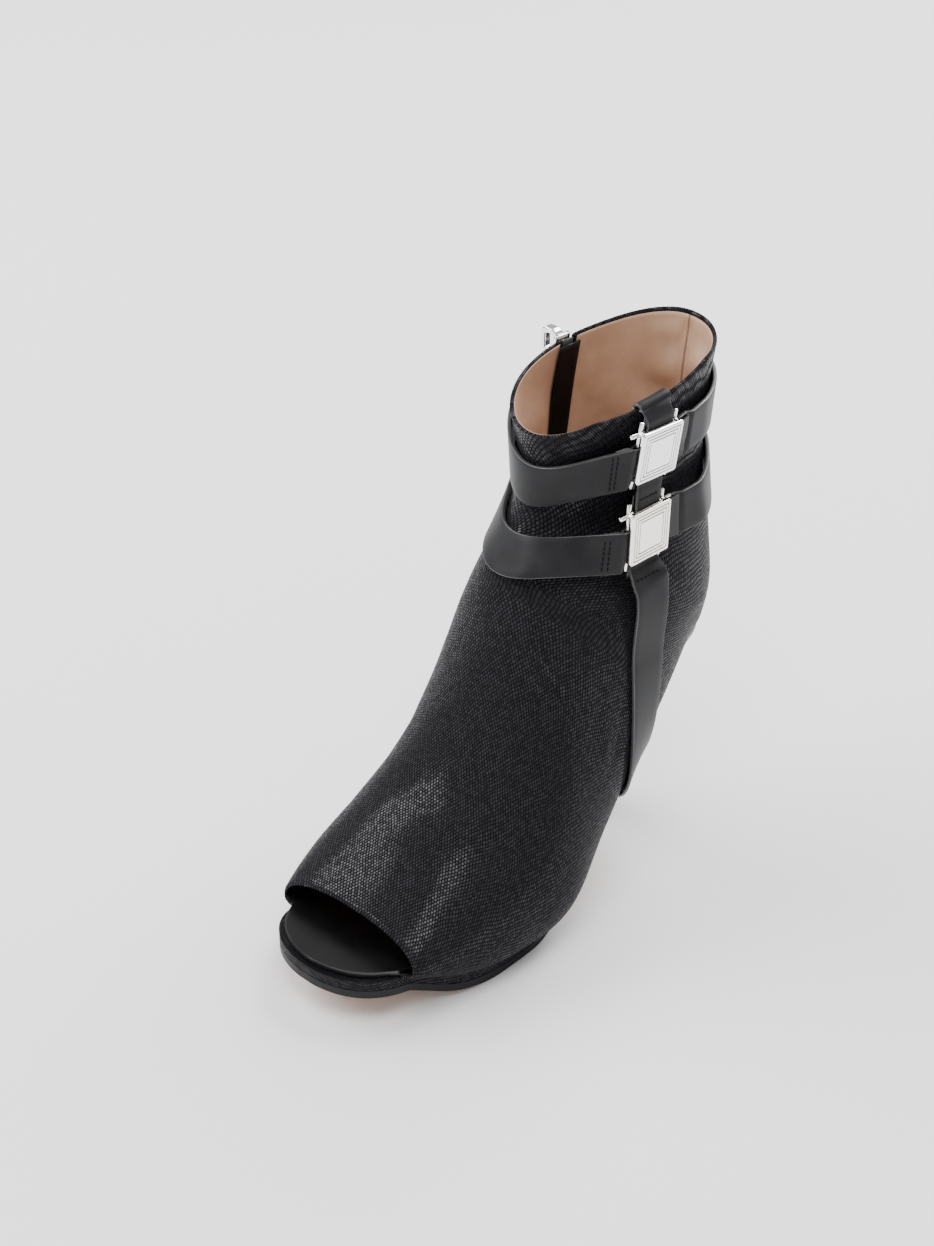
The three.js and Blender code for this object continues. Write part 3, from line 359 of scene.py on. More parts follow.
def rod(a, b, radius, sides=20, blunt=0.35):
    a, b = np.asarray(a, float), np.asarray(b, float)
    along = unit(b - a)
    across = unit(np.cross(along, [0.3, 0.5, 0.8]))
    other = np.cross(along, across)
    turn = np.linspace(0, 2 * math.pi, sides, endpoint=False)[:, None]
    circle = np.cos(turn) * across + np.sin(turn) * other
    ends = [(0, radius - blunt), (blunt * 0.3, radius - 0.3 * blunt), (blunt, radius)]
    rings = [a + along * d + circle * r for d, r in ends]
    rings += [b - along * d + circle * r for d, r in ends[::-1]]
    return tube(np.array(rings))


# Shaders

def feed(tree, socket, value):
    if isinstance(value, bpy.types.NodeSocket):
        tree.links.new(value, socket)
    else:
        socket.default_value = value


def newNode(tree, kind, inputs=None, **settings):
    made = tree.nodes.new(kind)
    for key, value in settings.items():
        setattr(made, key, value)
    for key, value in (inputs or {}).items():
        feed(tree, made.inputs[key], value)
    return made


def markNode(tree, name):
    return newNode(tree, "ShaderNodeAttribute", attribute_name=name).outputs["Fac"]


def objectPlace(tree):
    return newNode(tree, "ShaderNodeTexCoord").outputs["Object"]


def calc(tree, operation, *values):
    return newNode(tree, "ShaderNodeMath", dict(enumerate(values)), operation=operation).outputs[0]


def ramp(tree, value, low, high, start=0.0, end=1.0):
    inputs = {"Value": value, "From Min": low, "From Max": high, "To Min": start, "To Max": end}
    return newNode(tree, "ShaderNodeMapRange", inputs, interpolation_type="SMOOTHSTEP").outputs[0]


def blendColor(tree, mask, a, b):
    made = newNode(tree, "ShaderNodeMix", data_type="RGBA")
    for key, value in {"Factor": mask, "A": a, "B": b}.items():
        feed(tree, next(s for s in made.inputs if s.name == key and s.enabled), value)
    return next(s for s in made.outputs if s.enabled)


def newGroup(name, inputs, outputs):
    tree = bpy.data.node_groups.new(name, "ShaderNodeTree")
    for label, value in inputs.items():
        kind = "NodeSocketVector" if isinstance(value, tuple) else "NodeSocketFloat"
        socket = tree.interface.new_socket(label, in_out="INPUT", socket_type=kind)
        socket.default_value = value
    for label in outputs:
        tree.interface.new_socket(label, in_out="OUTPUT", socket_type="NodeSocketFloat")
    return tree, tree.nodes.new("NodeGroupInput").outputs, tree.nodes.new("NodeGroupOutput").inputs


def placeGroup(tree, group, inputs):
    made = tree.nodes.new("ShaderNodeGroup")
    made.node_tree = group
    for key, value in inputs.items():
        feed(tree, made.inputs[key], value)
    return made.outputs


def makeScaleGroup():
    # embossed scales in offset rows: two lattices of ovals, the nearer oval wins
    wanted = {"Around": 0.0, "Along": 0.0, "Width": 1.5, "Row": 1.2, "Uneven": 0.5}
    tree, given, out = newGroup("embossedScales", wanted, ["Height", "Groove", "Tone"])

    def drifted(value, part):  # rows wander slowly over the hide
        shift = calc(tree, "MULTIPLY", calc(tree, "SUBTRACT", part, 0.5), given["Uneven"])
        return calc(tree, "ADD", value, shift)

    def squared(value, half):
        return calc(tree, "POWER", calc(tree, "DIVIDE", value, half), 2.0)

    place = newNode(tree, "ShaderNodeCombineXYZ", {"X": given["Around"], "Y": given["Along"]}).outputs[0]
    drift = newNode(tree, "ShaderNodeTexNoise", {"Vector": place, "Scale": 0.07, "Detail": 1.0})
    bend = newNode(tree, "ShaderNodeSeparateXYZ", {0: drift.outputs["Color"]}).outputs
    x = calc(tree, "DIVIDE", drifted(given["Around"], bend[0]), given["Width"])
    y = calc(tree, "DIVIDE", drifted(given["Along"], bend[1]), calc(tree, "MULTIPLY", given["Row"], 2.0))
    found = []
    for shift in (0.0, 0.5):
        u, v = calc(tree, "ADD", x, shift), calc(tree, "ADD", y, shift)
        du = calc(tree, "SUBTRACT", calc(tree, "FRACT", u), 0.5)
        dv = calc(tree, "SUBTRACT", calc(tree, "FRACT", v), 0.5)
        far = calc(tree, "ADD", squared(du, 0.5), squared(dv, 0.36))
        cell = newNode(tree, "ShaderNodeCombineXYZ", {
            "X": calc(tree, "FLOOR", u), "Y": calc(tree, "FLOOR", v), "Z": shift}).outputs[0]
        found.append((far, newNode(tree, "ShaderNodeTexWhiteNoise", {"Vector": cell}).outputs["Value"]))
    (farA, toneA), (farB, toneB) = found
    near = calc(tree, "MINIMUM", farA, farB)
    isA = calc(tree, "LESS_THAN", farA, farB)
    tone = calc(tree, "ADD", calc(tree, "MULTIPLY", toneA, isA),
                calc(tree, "MULTIPLY", toneB, calc(tree, "SUBTRACT", 1.0, isA)))
    tree.links.new(calc(tree, "SUBTRACT", 1.0, ramp(tree, near, 0.15, 1.0)), out["Height"])
    tree.links.new(ramp(tree, near, 0.55, 0.95), out["Groove"])
    tree.links.new(tone, out["Tone"])
    return tree


def makeGrainGroup():
    # pores and folds of a smooth hide, in object space
    tree, given, out = newGroup("hideGrain", {"Scale": 900.0, "Fold": 60.0}, ["Height", "Cloud"])
    place = objectPlace(tree)
    cells = newNode(tree, "ShaderNodeTexVoronoi", {"Vector": place, "Scale": given["Scale"]},
                    feature="SMOOTH_F1").outputs["Distance"]
    folds = newNode(tree, "ShaderNodeTexNoise", {
        "Vector": place, "Scale": given["Fold"], "Detail": 3.0}).outputs[0]
    tree.links.new(calc(tree, "ADD", cells, calc(tree, "MULTIPLY", folds, 0.6)), out["Height"])
    tree.links.new(folds, out["Cloud"])
    return tree


def makeRimGroup():
    # a tint along the edges, from the mark kept on the points: on the straps a worn edge and partly a
    # painted highlight, on the footbed a painted highlight, on the sole its black edge, on the lining a
    # darker rim
    tree, given, out = newGroup("rimTint", {"Amount": 1.0, "Patchy": 0.5}, ["Mask"])
    rim = markNode(tree, "rim")
    place = objectPlace(tree)
    patch = newNode(tree, "ShaderNodeTexNoise", {"Vector": place, "Scale": 130.0}).outputs[0]
    rimShare = calc(tree, "SUBTRACT", 1.0, calc(tree, "MULTIPLY", patch, given["Patchy"]))
    tree.links.new(calc(tree, "MULTIPLY", calc(tree, "MULTIPLY", rim, rimShare), given["Amount"]), out["Mask"])
    return tree


scaleGroup, grainGroup, rimGroup = makeScaleGroup(), makeGrainGroup(), makeRimGroup()


def newMaterial(name):
    made = bpy.data.materials.new(name)
    made.use_nodes = True
    tree = made.node_tree
    return made, tree, tree.nodes["Principled BSDF"].inputs


def bump(tree, height, distance, strength=1.0, normal=None):
    inputs = {"Height": height, "Distance": distance * mm, "Strength": strength}
    if normal is not None:
        inputs["Normal"] = normal
    return newNode(tree, "ShaderNodeBump", inputs).outputs[0]


def embossedMaterial():
    look = dict(grooveShade=(0.004, 0.0036, 0.0045, 1), low=(0.013, 0.0118, 0.0143, 1),
                top=(0.025, 0.0227, 0.0273, 1), width=1.4, row=1.05, uneven=2.4, emboss=0.6,
                gloss=0.55, groove=0.85, coat=0.42, pores=2600.0, folds=90.0)
    made, tree, shader = newMaterial("embossedLeather")
    around = markNode(tree, "around")
    along = markNode(tree, "along")
    scales = placeGroup(tree, scaleGroup, {
        "Around": around, "Along": along,
        "Width": look["width"], "Row": look["row"], "Uneven": look["uneven"]})
    grain = placeGroup(tree, grainGroup, {"Scale": look["pores"], "Fold": look["folds"]})
    color = blendColor(tree, scales["Tone"], look["low"], look["top"])
    # the darker colour in the grooves between the scales is painted shade
    tree.links.new(blendColor(tree, scales["Groove"], color, look["grooveShade"]), shader["Base Color"])
    rough = ramp(tree, scales["Groove"], 0.0, 1.0, look["gloss"], look["groove"])
    rough = calc(tree, "ADD", rough, calc(tree, "MULTIPLY", scales["Tone"], 0.1))
    tree.links.new(rough, shader["Roughness"])
    height = calc(tree, "ADD", scales["Height"], calc(tree, "MULTIPLY", scales["Tone"], 0.18))
    normal = bump(tree, height, look["emboss"])
    tree.links.new(bump(tree, grain["Height"], 0.02, 0.5, normal), shader["Normal"])
    tops = calc(tree, "MULTIPLY", ramp(tree, scales["Height"], 0.7, 1.0),
                ramp(tree, scales["Tone"], 0.0, 1.0, 0.3))
    tree.links.new(calc(tree, "MULTIPLY", tops, look["coat"]), shader["Coat Weight"])
    shader["Coat Roughness"].default_value = 0.16
    shader["Specular IOR Level"].default_value = 0.05
    return made


def smoothMaterial(name, look):
    # plain dyed hides: straps, footbed, heel, lining
    made, tree, shader = newMaterial(name)
    grain = placeGroup(tree, grainGroup, {"Scale": look["pores"], "Fold": look["folds"]})
    rim = placeGroup(tree, rimGroup, {"Amount": look["rimShare"], "Patchy": 0.6})
    color = blendColor(tree, ramp(tree, grain["Cloud"], 0.3, 0.7), look["dark"], look["light"])
    # the edge colour over the rim mask: a worn edge with a painted highlight on the straps, a painted
    # highlight on the footbed's rolled rim, a darker rim on the lining
    tree.links.new(blendColor(tree, rim["Mask"], color, look["edge"]), shader["Base Color"])
    tree.links.new(ramp(tree, grain["Cloud"], 0.25, 0.75, look["gloss"], look["matt"]), shader["Roughness"])
    tree.links.new(bump(tree, grain["Height"], look["relief"], 0.6), shader["Normal"])
    shine = calc(tree, "MULTIPLY", rim["Mask"], look["shine"])
    tree.links.new(calc(tree, "ADD", shine, look["coat"]), shader["Coat Weight"])
    shader["Coat Roughness"].default_value = 0.24
    shader["Specular IOR Level"].default_value = look["specular"]
    return made


def addSeam(made, across):
    # a sewn line down the back: a dark groove on top of the hide
    tree = made.node_tree
    shader = tree.nodes["Principled BSDF"].inputs
    off = markNode(tree, "seam")
    groove = calc(tree, "SUBTRACT", 1.0, ramp(tree, off, 0.1, across))
    color, normal = shader["Base Color"].links[0].from_socket, shader["Normal"].links[0].from_socket
    tree.links.new(blendColor(tree, calc(tree, "MULTIPLY", groove, 0.6), color, (0.16, 0.08, 0.05, 1)),
                   shader["Base Color"])
    tree.links.new(bump(tree, calc(tree, "SUBTRACT", 1.0, groove), 0.5, 1.0, normal), shader["Normal"])


def metalMaterial(name, look):
    made, tree, shader = newMaterial(name)
    place = objectPlace(tree)
    haze = newNode(tree, "ShaderNodeTexNoise", {"Vector": place, "Scale": 220.0, "Detail": 4.0}).outputs[0]
    tree.links.new(ramp(tree, haze, 0.3, 0.8, look["gloss"], look["haze"]), shader["Roughness"])
    tree.links.new(bump(tree, haze, 0.004, 0.4), shader["Normal"])
    groove = markNode(tree, "groove")
    # the sunk colour in the plates' grooves is painted shade
    tree.links.new(blendColor(tree, groove, look["color"], look["sunk"]), shader["Base Color"])
    shader["Metallic"].default_value = 1
    return made


def clothMaterial():
    made, tree, shader = newMaterial("zipCloth")
    place = objectPlace(tree)
    rib = newNode(tree, "ShaderNodeTexWave", {"Vector": place, "Scale": 620.0, "Distortion": 0.4},
                  bands_direction="Z").outputs["Fac"]
    shader["Base Color"].default_value = (0.008, 0.008, 0.009, 1)
    shader["Roughness"].default_value = 0.85
    shader["Sheen Weight"].default_value = 0.2
    tree.links.new(bump(tree, rib, 0.1), shader["Normal"])
    return made


def soleMaterial():
    look = dict(tan=(0.34, 0.19, 0.10, 1), scuffed=(0.42, 0.26, 0.15, 1), edge=(0.003, 0.003, 0.0035, 1))
    made, tree, shader = newMaterial("soleLeather")
    grain = placeGroup(tree, grainGroup, {"Scale": 1200.0, "Fold": 35.0})
    rim = placeGroup(tree, rimGroup, {"Amount": 1.6, "Patchy": 0.1})
    color = blendColor(tree, ramp(tree, grain["Cloud"], 0.35, 0.7), look["tan"], look["scuffed"])
    tree.links.new(blendColor(tree, rim["Mask"], color, look["edge"]), shader["Base Color"])
    tree.links.new(ramp(tree, rim["Mask"], 0.0, 1.0, 0.6, 0.5), shader["Roughness"])
    shader["Specular IOR Level"].default_value = 0.25
    tree.links.new(bump(tree, grain["Height"], 0.05, 0.5), shader["Normal"])
    return made


embossed = embossedMaterial()
# the straps' edge colour, far lighter than the hide, is a worn edge and partly a painted highlight along
# the strap edges
strapLeather = smoothMaterial("strapLeather", dict(
    dark=(0.011, 0.011, 0.012, 1), light=(0.018, 0.018, 0.019, 1), edge=(0.085, 0.083, 0.084, 1),
    pores=1500.0, folds=70.0, rimShare=0.7, gloss=0.42, matt=0.5, relief=0.04, coat=0.01, shine=2.0,
    specular=0.17))
# the footbed's lighter edge colour is a painted highlight on its rolled rim
footbedLeather = smoothMaterial("footbedLeather", dict(
    dark=(0.002, 0.002, 0.0024, 1), light=(0.004, 0.004, 0.0045, 1), edge=(0.01, 0.01, 0.011, 1),
    pores=1700.0, folds=40.0, rimShare=0.5, gloss=0.34, matt=0.45, relief=0.04, coat=0.02, shine=3,
    specular=0.2))
heelLeather = smoothMaterial("heelLeather", dict(
    dark=(0.006, 0.006, 0.007, 1), light=(0.01, 0.01, 0.011, 1), edge=(0.02, 0.02, 0.02, 1),
    pores=1500.0, folds=50.0, rimShare=0.4, gloss=0.28, matt=0.4, relief=0.04, coat=0.2, shine=0,
    specular=0.4))
liningLeather = smoothMaterial("liningLeather", dict(
    dark=(0.47, 0.29, 0.19, 1), light=(0.55, 0.36, 0.25, 1), edge=(0.38, 0.21, 0.13, 1),
    pores=1300.0, folds=60.0, rimShare=0.5, gloss=0.5, matt=0.62, relief=0.07, coat=0.02, shine=0,
    specular=0.35))
addSeam(liningLeather, 0.7)
rubber = smoothMaterial("tipRubber", dict(
    dark=(0.008, 0.008, 0.008, 1), light=(0.015, 0.015, 0.015, 1), edge=(0.03, 0.03, 0.03, 1),
    pores=2500.0, folds=90.0, rimShare=0.6, gloss=0.6, matt=0.75, relief=0.05, coat=0, shine=0,
    specular=0.4))
thread = smoothMaterial("stitchThread", dict(
    dark=(0.002, 0.002, 0.002, 1), light=(0.004, 0.004, 0.004, 1), edge=(0.004, 0.004, 0.004, 1),
    pores=4000.0, folds=300.0, rimShare=0, gloss=0.45, matt=0.6, relief=0.05, coat=0, shine=0,
    specular=0.12))
# the darker sunk colours are painted shade in the plates' grooves
brightPlate = metalMaterial("brightPlate", dict(
    color=(1, 0.995, 0.98, 1), sunk=(0.3, 0.29, 0.28, 1), gloss=0.05, haze=0.12))
warmPlate = metalMaterial("warmPlate", dict(
    color=(1, 0.965, 0.885, 1), sunk=(0.34, 0.31, 0.26, 1), gloss=0.05, haze=0.12))
nickel = metalMaterial("zipNickel", dict(
    color=(0.90, 0.90, 0.905, 1), sunk=(0.3, 0.3, 0.3, 1), gloss=0.08, haze=0.16))
soleLeather, zipCloth = soleMaterial(), clothMaterial()
print("materials are made")


# The zip's line on the medial side

collarMedial = heightAt(0.915)
zipper = dict(top=103, lean=0.1, length=120, start=6.8, slit=7, stop=6.4, tape=1.1, rise=0.5)


def zipY(z):
    return zipper["top"] - zipper["lean"] * (collarMedial - z)


def zipFrames(z):
    # z: heights along the zip. Gives point, across, out and along for each
    z = np.asarray(z, float)
    turn = turnAt(zipY(z), z, -1)
    point = shaftPoint(turn, z)
    along = unit(shaftPoint(turn, z + 2) - shaftPoint(turn, z - 2))
    across = shaftPoint(turn - 0.02, z) - shaftPoint(turn + 0.02, z)
    across = unit(across - along * (across * along).sum(-1, keepdims=True))
    out = unit(np.cross(across, along))
    return point, across, np.where(out[..., :1] > 0, -out, out), along


zipEdge = float(collarHeight(turnAt(zipper["top"], collarMedial, -1)))


# The upper: embossed leather outside, lining inside

creases = [
    # side, then station and turn (a share of pi) at each end, depth and width in mm
    dict(side=1, ends=((5.62, 0.14), (5.36, 0.34)), depth=0.45, width=1.6),
    dict(side=1, ends=((5.34, 0.10), (5.08, 0.30)), depth=0.4, width=1.7),
    dict(side=1, ends=((5.06, 0.16), (4.84, 0.36)), depth=0.35, width=2.0),
    dict(side=1, ends=((6.1, 0.50), (5.2, 0.60)), depth=0.5, width=2.8),
    dict(side=1, ends=((5.7, 0.42), (5.1, 0.50)), depth=0.4, width=2.4),
    dict(side=1, ends=((4.6, 0.34), (4.3, 0.48)), depth=0.25, width=3.6),
    dict(side=1, ends=((7.4, 0.62), (7.9, 0.80)), depth=0.35, width=3.4),
    dict(side=1, ends=((10.5, 0.06), (10.2, 0.30)), depth=0.35, width=3.0),
    dict(side=-1, ends=((6.1, 0.46), (5.3, 0.60)), depth=0.5, width=2.8),
    dict(side=-1, ends=((5.6, 0.32), (5.0, 0.46)), depth=0.4, width=2.4),
    dict(side=-1, ends=((5.1, 0.10), (4.8, 0.30)), depth=0.35, width=2.4),
    dict(side=-1, ends=((4.4, 0.30), (4.1, 0.46)), depth=0.25, width=3.6),
    dict(side=-1, ends=((10.4, 0.10), (10.2, 0.36)), depth=0.35, width=3.0),
    dict(side=-1, ends=((9.2, 0.70), (8.4, 0.86)), depth=0.3, width=3.6),
]


def creaseDepth(points):
    # troughs with a soft ridge on each side, at the listed places
    depth = np.zeros(points.shape[:-1])
    for crease in creases:
        (t0, a0), (t1, a1) = crease["ends"]
        k = np.linspace(0, 1, 9)
        line = skin(mix(t0, t1, k), crease["side"] * math.pi * mix(a0, a1, k))
        best, share = np.full(depth.shape, 1e9), np.zeros(depth.shape)
        for i, (a, b) in enumerate(zip(line, line[1:])):
            q = np.clip(((points - a) @ (b - a)) / ((b - a) @ (b - a)), 0, 1)
            far = np.linalg.norm(points - a - q[..., None] * (b - a), axis=-1)
            nearer = far < best
            best, share = np.where(nearer, far, best), np.where(nearer, (i + q) / 8, share)
        ends = fade(0, 0.3, share) * (1 - fade(0.7, 1, share))
        x = best / crease["width"]
        ridge = 0.45 * np.exp(-((x - 1.9) ** 2) / 0.6)
        depth += crease["depth"] * ends * (np.exp(-x * x) - ridge)
    return depth


def zipTurns(t):
    # where the zip's line crosses each row of the upper, and the length of a turn there
    def off(turn):
        p = skin(t, turn)
        return zipY(p[:, 2]) - p[:, 1]
    turn = -solve(lambda a: -off(-a), np.zeros(len(t)), 0.05, math.pi - 0.05)
    return turn, np.linalg.norm(skin(t, turn + 0.01) - skin(t, turn - 0.01), axis=-1) / 0.02


def upperGrid(rows, columns, slit):
    # stations and turns of a grid over the upper, its columns drawn to the slit's edges
    low, high = np.linspace(opening, corner, rows[0]), np.linspace(corner, collar, rows[1])[1:]
    t = np.concatenate([low, high])
    turns, count = np.linspace(-math.pi, math.pi, columns), np.arange(columns)
    line, length = zipTurns(t)
    half = slit / 2 / length
    middle = int(round(np.interp(np.median(line[t > counter]), turns, count)))
    a, b = middle - 2, middle + 2
    turnGrid = np.empty((len(t), columns))
    for i, pull in enumerate(fade(zipper["start"] - 0.6, zipper["start"], t)):
        edges = [-math.pi, line[i] - half[i], line[i] + half[i], math.pi]
        turnGrid[i] = mix(turns, np.interp(count, [0, a, b, columns - 1], edges), pull)
    t = t[:, None]
    edge = ringAt(turnGrid, collarHeight(turnGrid))
    above = np.clip((t - counter) / (collar - counter), 0, 1)
    grid = np.where(t > counter, mix(counter, edge, above), t)
    return grid, turnGrid, len(low) - 1, (a, b)


def keptCells(t, face, a, b):
    # all cells but those in the zip's slit
    keep = np.ones((t.shape[0] - 1, t.shape[1] - 1), bool)
    inSlit = (face[:-1, a, 2] > zipEdge - zipper["length"]) & (t[:-1, a] > zipper["start"])
    keep[np.ix_(inSlit, np.arange(a, b))] = False
    return keep


def arcLengths(points):
    # millimetres around from the ridge and along from the toe, for each point of a grid
    step = np.linalg.norm(np.diff(points, axis=1), axis=-1)
    around = np.concatenate([np.zeros((len(points), 1)), np.cumsum(step, axis=1)], axis=1)
    middle = points.shape[1] // 2
    around = around - around[:, middle:middle + 1]
    step = np.linalg.norm(np.diff(points, axis=0), axis=-1)
    along = np.concatenate([np.zeros((1, points.shape[1])), np.cumsum(step, axis=0)], axis=0)
    return around, along


def makeUpper():
    look = dict(rows=(150, 86), columns=241, leather=1.05, roll=0.55, rollWidth=0.9, shaftScales=1.35)
    t, turn, closed, (a, b) = upperGrid(look["rows"], look["columns"], zipper["slit"])
    face = skin(t, turn)
    around, along = arcLengths(face)
    rimOff = np.minimum(along, along[-1] - along)  # distance from the toe opening or the collar
    depth = creaseDepth(face) * fade(1, 6, rimOff)
    roll = look["roll"] * (1 - np.sqrt(1 - (1 - np.clip(rimOff / look["rollWidth"], 0, 1)) ** 2))
    thick = mix(wall - 0.05, look["leather"], fade(0.5, 3.5, rimOff))  # full at the rims, which show
    outer, inner = skin(t, turn, depth + roll), skin(t, turn, depth + thick - 0.8 * roll)
    points, faces, used = sheetShell(outer, inner, keptCells(t, face, a, b), closed)
    size = mix(1, look["shaftScales"], fade(4.5, 8, t))  # scales are larger up the shaft
    step = np.diff(along, axis=0) / size[1:]
    along = np.concatenate([np.zeros((1, look["columns"])), np.cumsum(step, axis=0)])
    around = around / size
    marks = {"around": np.tile(around.ravel(), 2)[used], "along": np.tile(along.ravel(), 2)[used],
             "rim": np.tile((1 - fade(0, 1.2, rimOff)).ravel(), 2)[used]}
    return piece("upperLeather", points, faces, embossed, ["upper"], marks=marks)


def makeLining():
    look = dict(rows=(90, 80), columns=161, pucker=2.2, toeRows=12, turnedBack=3, under=1.1, least=1.35)
    t, turn, closed, (a, b) = upperGrid(look["rows"], look["columns"], zipper["slit"] + look["turnedBack"])
    face = skin(t, turn)
    _, along = arcLengths(face)
    fromTop = along[-1] - along
    rimOff = np.minimum(along, fromTop)
    depth = creaseDepth(face)
    # soft puckers beside the back seam and down the shaft
    back = 30 * (math.pi - np.abs(turn))  # millimetres from the seam, roughly
    seam = np.exp(-((back - 1.2) / 1.6) ** 2)
    waves = np.sin(fromTop / 2.9 + 1.4 * np.sin(turn * 5)) * np.exp(-((back - 8) / 8) ** 2) * 0.7
    waves += 0.5 * np.sin(fromTop / 7.1 + 7 * turn) * fade(4, 30, fromTop)
    inner = wall + 0.12 + look["pucker"] * (0.35 * waves - 0.5 * seam) * fade(2, 9, fromTop)
    inset = depth + np.maximum(inner, look["least"])
    keep = keptCells(t, face, a, b)
    keep[:look["toeRows"]] = keep[-1:] = False
    outer = skin(t, turn, depth + look["under"])
    points, faces, used = sheetShell(outer, skin(t, turn, inset), keep, closed)
    marks = {"rim": np.tile((1 - fade(1, 2.2, rimOff)).ravel(), 2)[used],
             "seam": np.tile(back.ravel(), 2)[used]}
    return piece("lining", points, faces, liningLeather, marks=marks)


makeUpper()
makeLining()
print("the upper and its lining are made")


# The bottom

def rowsAlong(start, end, pitch=1.6, roundRows=26):
    if start >= toeRound:
        return np.linspace(start, end, int((end - start) / pitch) + 2)
    angles = np.linspace(0.1, math.pi / 2, roundRows)
    toe = toeRound - (toeRound - start) * np.cos(angles)
    return np.concatenate([toe, np.linspace(toe[-1], end, int((end - toe[-1]) / pitch) + 2)[1:]])


def plank(name, node, rows, widthAt, bottomAt, topAt, material, edge, cells=8, rimOf=None):
    lateral, medial = widthAt(rows, 1), -widthAt(rows, -1)
    low, high = bottomAt(rows), topAt(rows)
    share = np.concatenate([[0], np.linspace(0.03, 0.97, cells - 1), [1]])
    x = mix(medial[:, None], lateral[:, None], share)
    y = np.broadcast_to(rows[:, None], x.shape)
    under = np.stack([x, y, np.broadcast_to(low[:, None], x.shape)], -1)
    over = np.stack([x, y, np.broadcast_to(high[:, None], x.shape)], -1)[:, ::-1]
    rings = np.concatenate([under, over], 1)
    points, faces = tube(rings)
    half = np.where(x > 0, lateral[:, None], -medial[:, None])
    onTop = np.where(x > 0, 1, -1) * (2 * half - np.abs(x) + (high - low)[:, None])
    around = np.concatenate([x, onTop[:, ::-1]], 1).ravel()
    outline = np.hypot(np.diff(lateral), np.diff(rows))
    along = np.repeat(np.concatenate([[0], np.cumsum(outline)]), rings.shape[1])
    edgeMark = np.zeros(rings.shape[:2])
    # the footbed's rim mark carries its painted highlight on the rolled edge
    if rimOf == "top":
        edgeMark[:, [cells + 1, -1]] = 1
        edgeMark[0, cells + 1:] = 1
    if rimOf == "side":
        edgeMark[:, cells + 1:] = 1
        edgeMark[:, [0, cells]] = 1
        edgeMark[0] = 1
    marks = {"around": around, "along": along, "rim": edgeMark.ravel()}
    made = piece(name, points, faces, material, [node], marks=marks)
    return roundEdges(made, edge, 40, 3)


def platformTaper(y):
    return mix(platformThickness, platformEdge, fade(0.2 * platformEnd, platformEnd, y))


def platformTop(y):
    return featherZ(y) - gap


def platformBottom(y):
    return platformTop(y) - platformTaper(y)


# places from the ball of the foot, blunt is how square the tip's front is
heel = dict(breast=92, tipPlace=97.5, tipLength=14, tipWidth=13.6, tipShift=-1.5, tipThickness=5,
            blunt=0.25, inside=0.02)


def makeSole():
    look = dict(dip=0.5, step=0.6, edge=0.5)

    def bottomAt(y):
        sunk = fade(platformEnd, 1.6 * platformEnd, y)
        under = mix(gap + platformTaper(y) + gap, gap, sunk)
        return np.maximum(0, featherZ(y) - under - soleThickness - look["dip"])

    def topAt(y):
        return np.where(y > platformEnd + look["step"], platformTop(y), platformBottom(y) - gap)

    front = rowsAlong(toeEnd, platformEnd + gap)
    rows = np.concatenate([front, rowsAlong(platformEnd + gap + look["step"], heel["breast"])])
    plank("soleBody", "outsole", rows, feather, bottomAt, topAt,
          soleLeather, look["edge"], rimOf="side")


def makePlatform():
    look = dict(edge=0.9)
    plank("platformWrap", "platform", rowsAlong(toeEnd, platformEnd), feather, platformBottom, platformTop,
          embossed, look["edge"])


def makeFootbed():
    look = dict(setback=2, taper=10, thick=2.6, edge=1.0, cells=16, heelRows=18)
    clear, heelShort = gap + 0.1, wall + gap
    start = lines["botY"][opening] - 0.6 * look["taper"]

    def widthAt(y, side):
        atToe = 1 - fade(start, start + look["taper"], y)
        atHeel = fade(heelRound - 0.1 * lastLength, heelRound, y)
        setback = clear + atToe * (look["setback"] - clear) + atHeel * wall
        return feather(y, side, look["setback"], heelShort) - setback

    def topAt(y):
        return featherZ(y) + look["thick"]

    end = heelEnd - heelShort
    back = heelRound + (end - heelRound) * np.sin(np.linspace(0, math.pi / 2 - 0.1, look["heelRows"]))
    rows = np.concatenate([rowsAlong(toeEnd + look["setback"], heelRound), back[1:]])
    plank("footbedPad", "footbed", rows, widthAt, featherZ, topAt,
          footbedLeather, look["edge"], look["cells"], rimOf="top")


heelStations = table(
    "down front back narrow round",
    (0, 0, 0, 0, 0),
    (0.06, 0, 0.01, 0, 0),
    (0.16, 0.5, 0.14, 0.17, 0.1),
    (0.3, 1.1, 0.36, 0.46, 0.3),
    (0.5, 1.6, 0.63, 0.72, 0.55),
    (0.75, 1.4, 0.87, 0.91, 0.7),
    (1, 1, 1, 1, 0.8),
)


def heelRing(down, steps=40):
    # a level of the heel, down being 0 at the seat and 1 at the tip
    knots = column(heelStations, "down")
    front, back, narrow, roundness = (float(smooth(knots, column(heelStations, name), down))
                                      for name in ("front", "back", "narrow", "round"))
    q = np.linspace(0, 1, steps + 1)
    swing = (1 - np.cos(math.pi * q)) / 2
    seatFront, seatBack = heel["breast"] + gap, heelEnd - heel["inside"]
    frontY = mix(seatFront, heel["tipPlace"] - heel["tipLength"] / 2, front)
    backY = mix(seatBack, heel["tipPlace"] + heel["tipLength"] / 2, back)
    seat = mix(seatFront, seatBack, swing)
    z = mix(featherZ(seat) - gap, heel["tipThickness"] + gap, down)
    tipShape = np.maximum(heel["blunt"] * (1 - q), np.sin(math.pi * q))
    halves = []
    for side in (1, -1):
        breastWidth = feather(heel["breast"], side)
        shape = mix(feather(seat, side) / breastWidth, tipShape, np.clip(roundness, 0, 1))
        width = mix(breastWidth, heel["tipWidth"] / 2, narrow)
        x = heel["tipShift"] * narrow + side * shape * width
        halves.append(np.stack([x, mix(frontY, backY, swing), z], -1))
    return np.concatenate([halves[0], halves[1][::-1]])


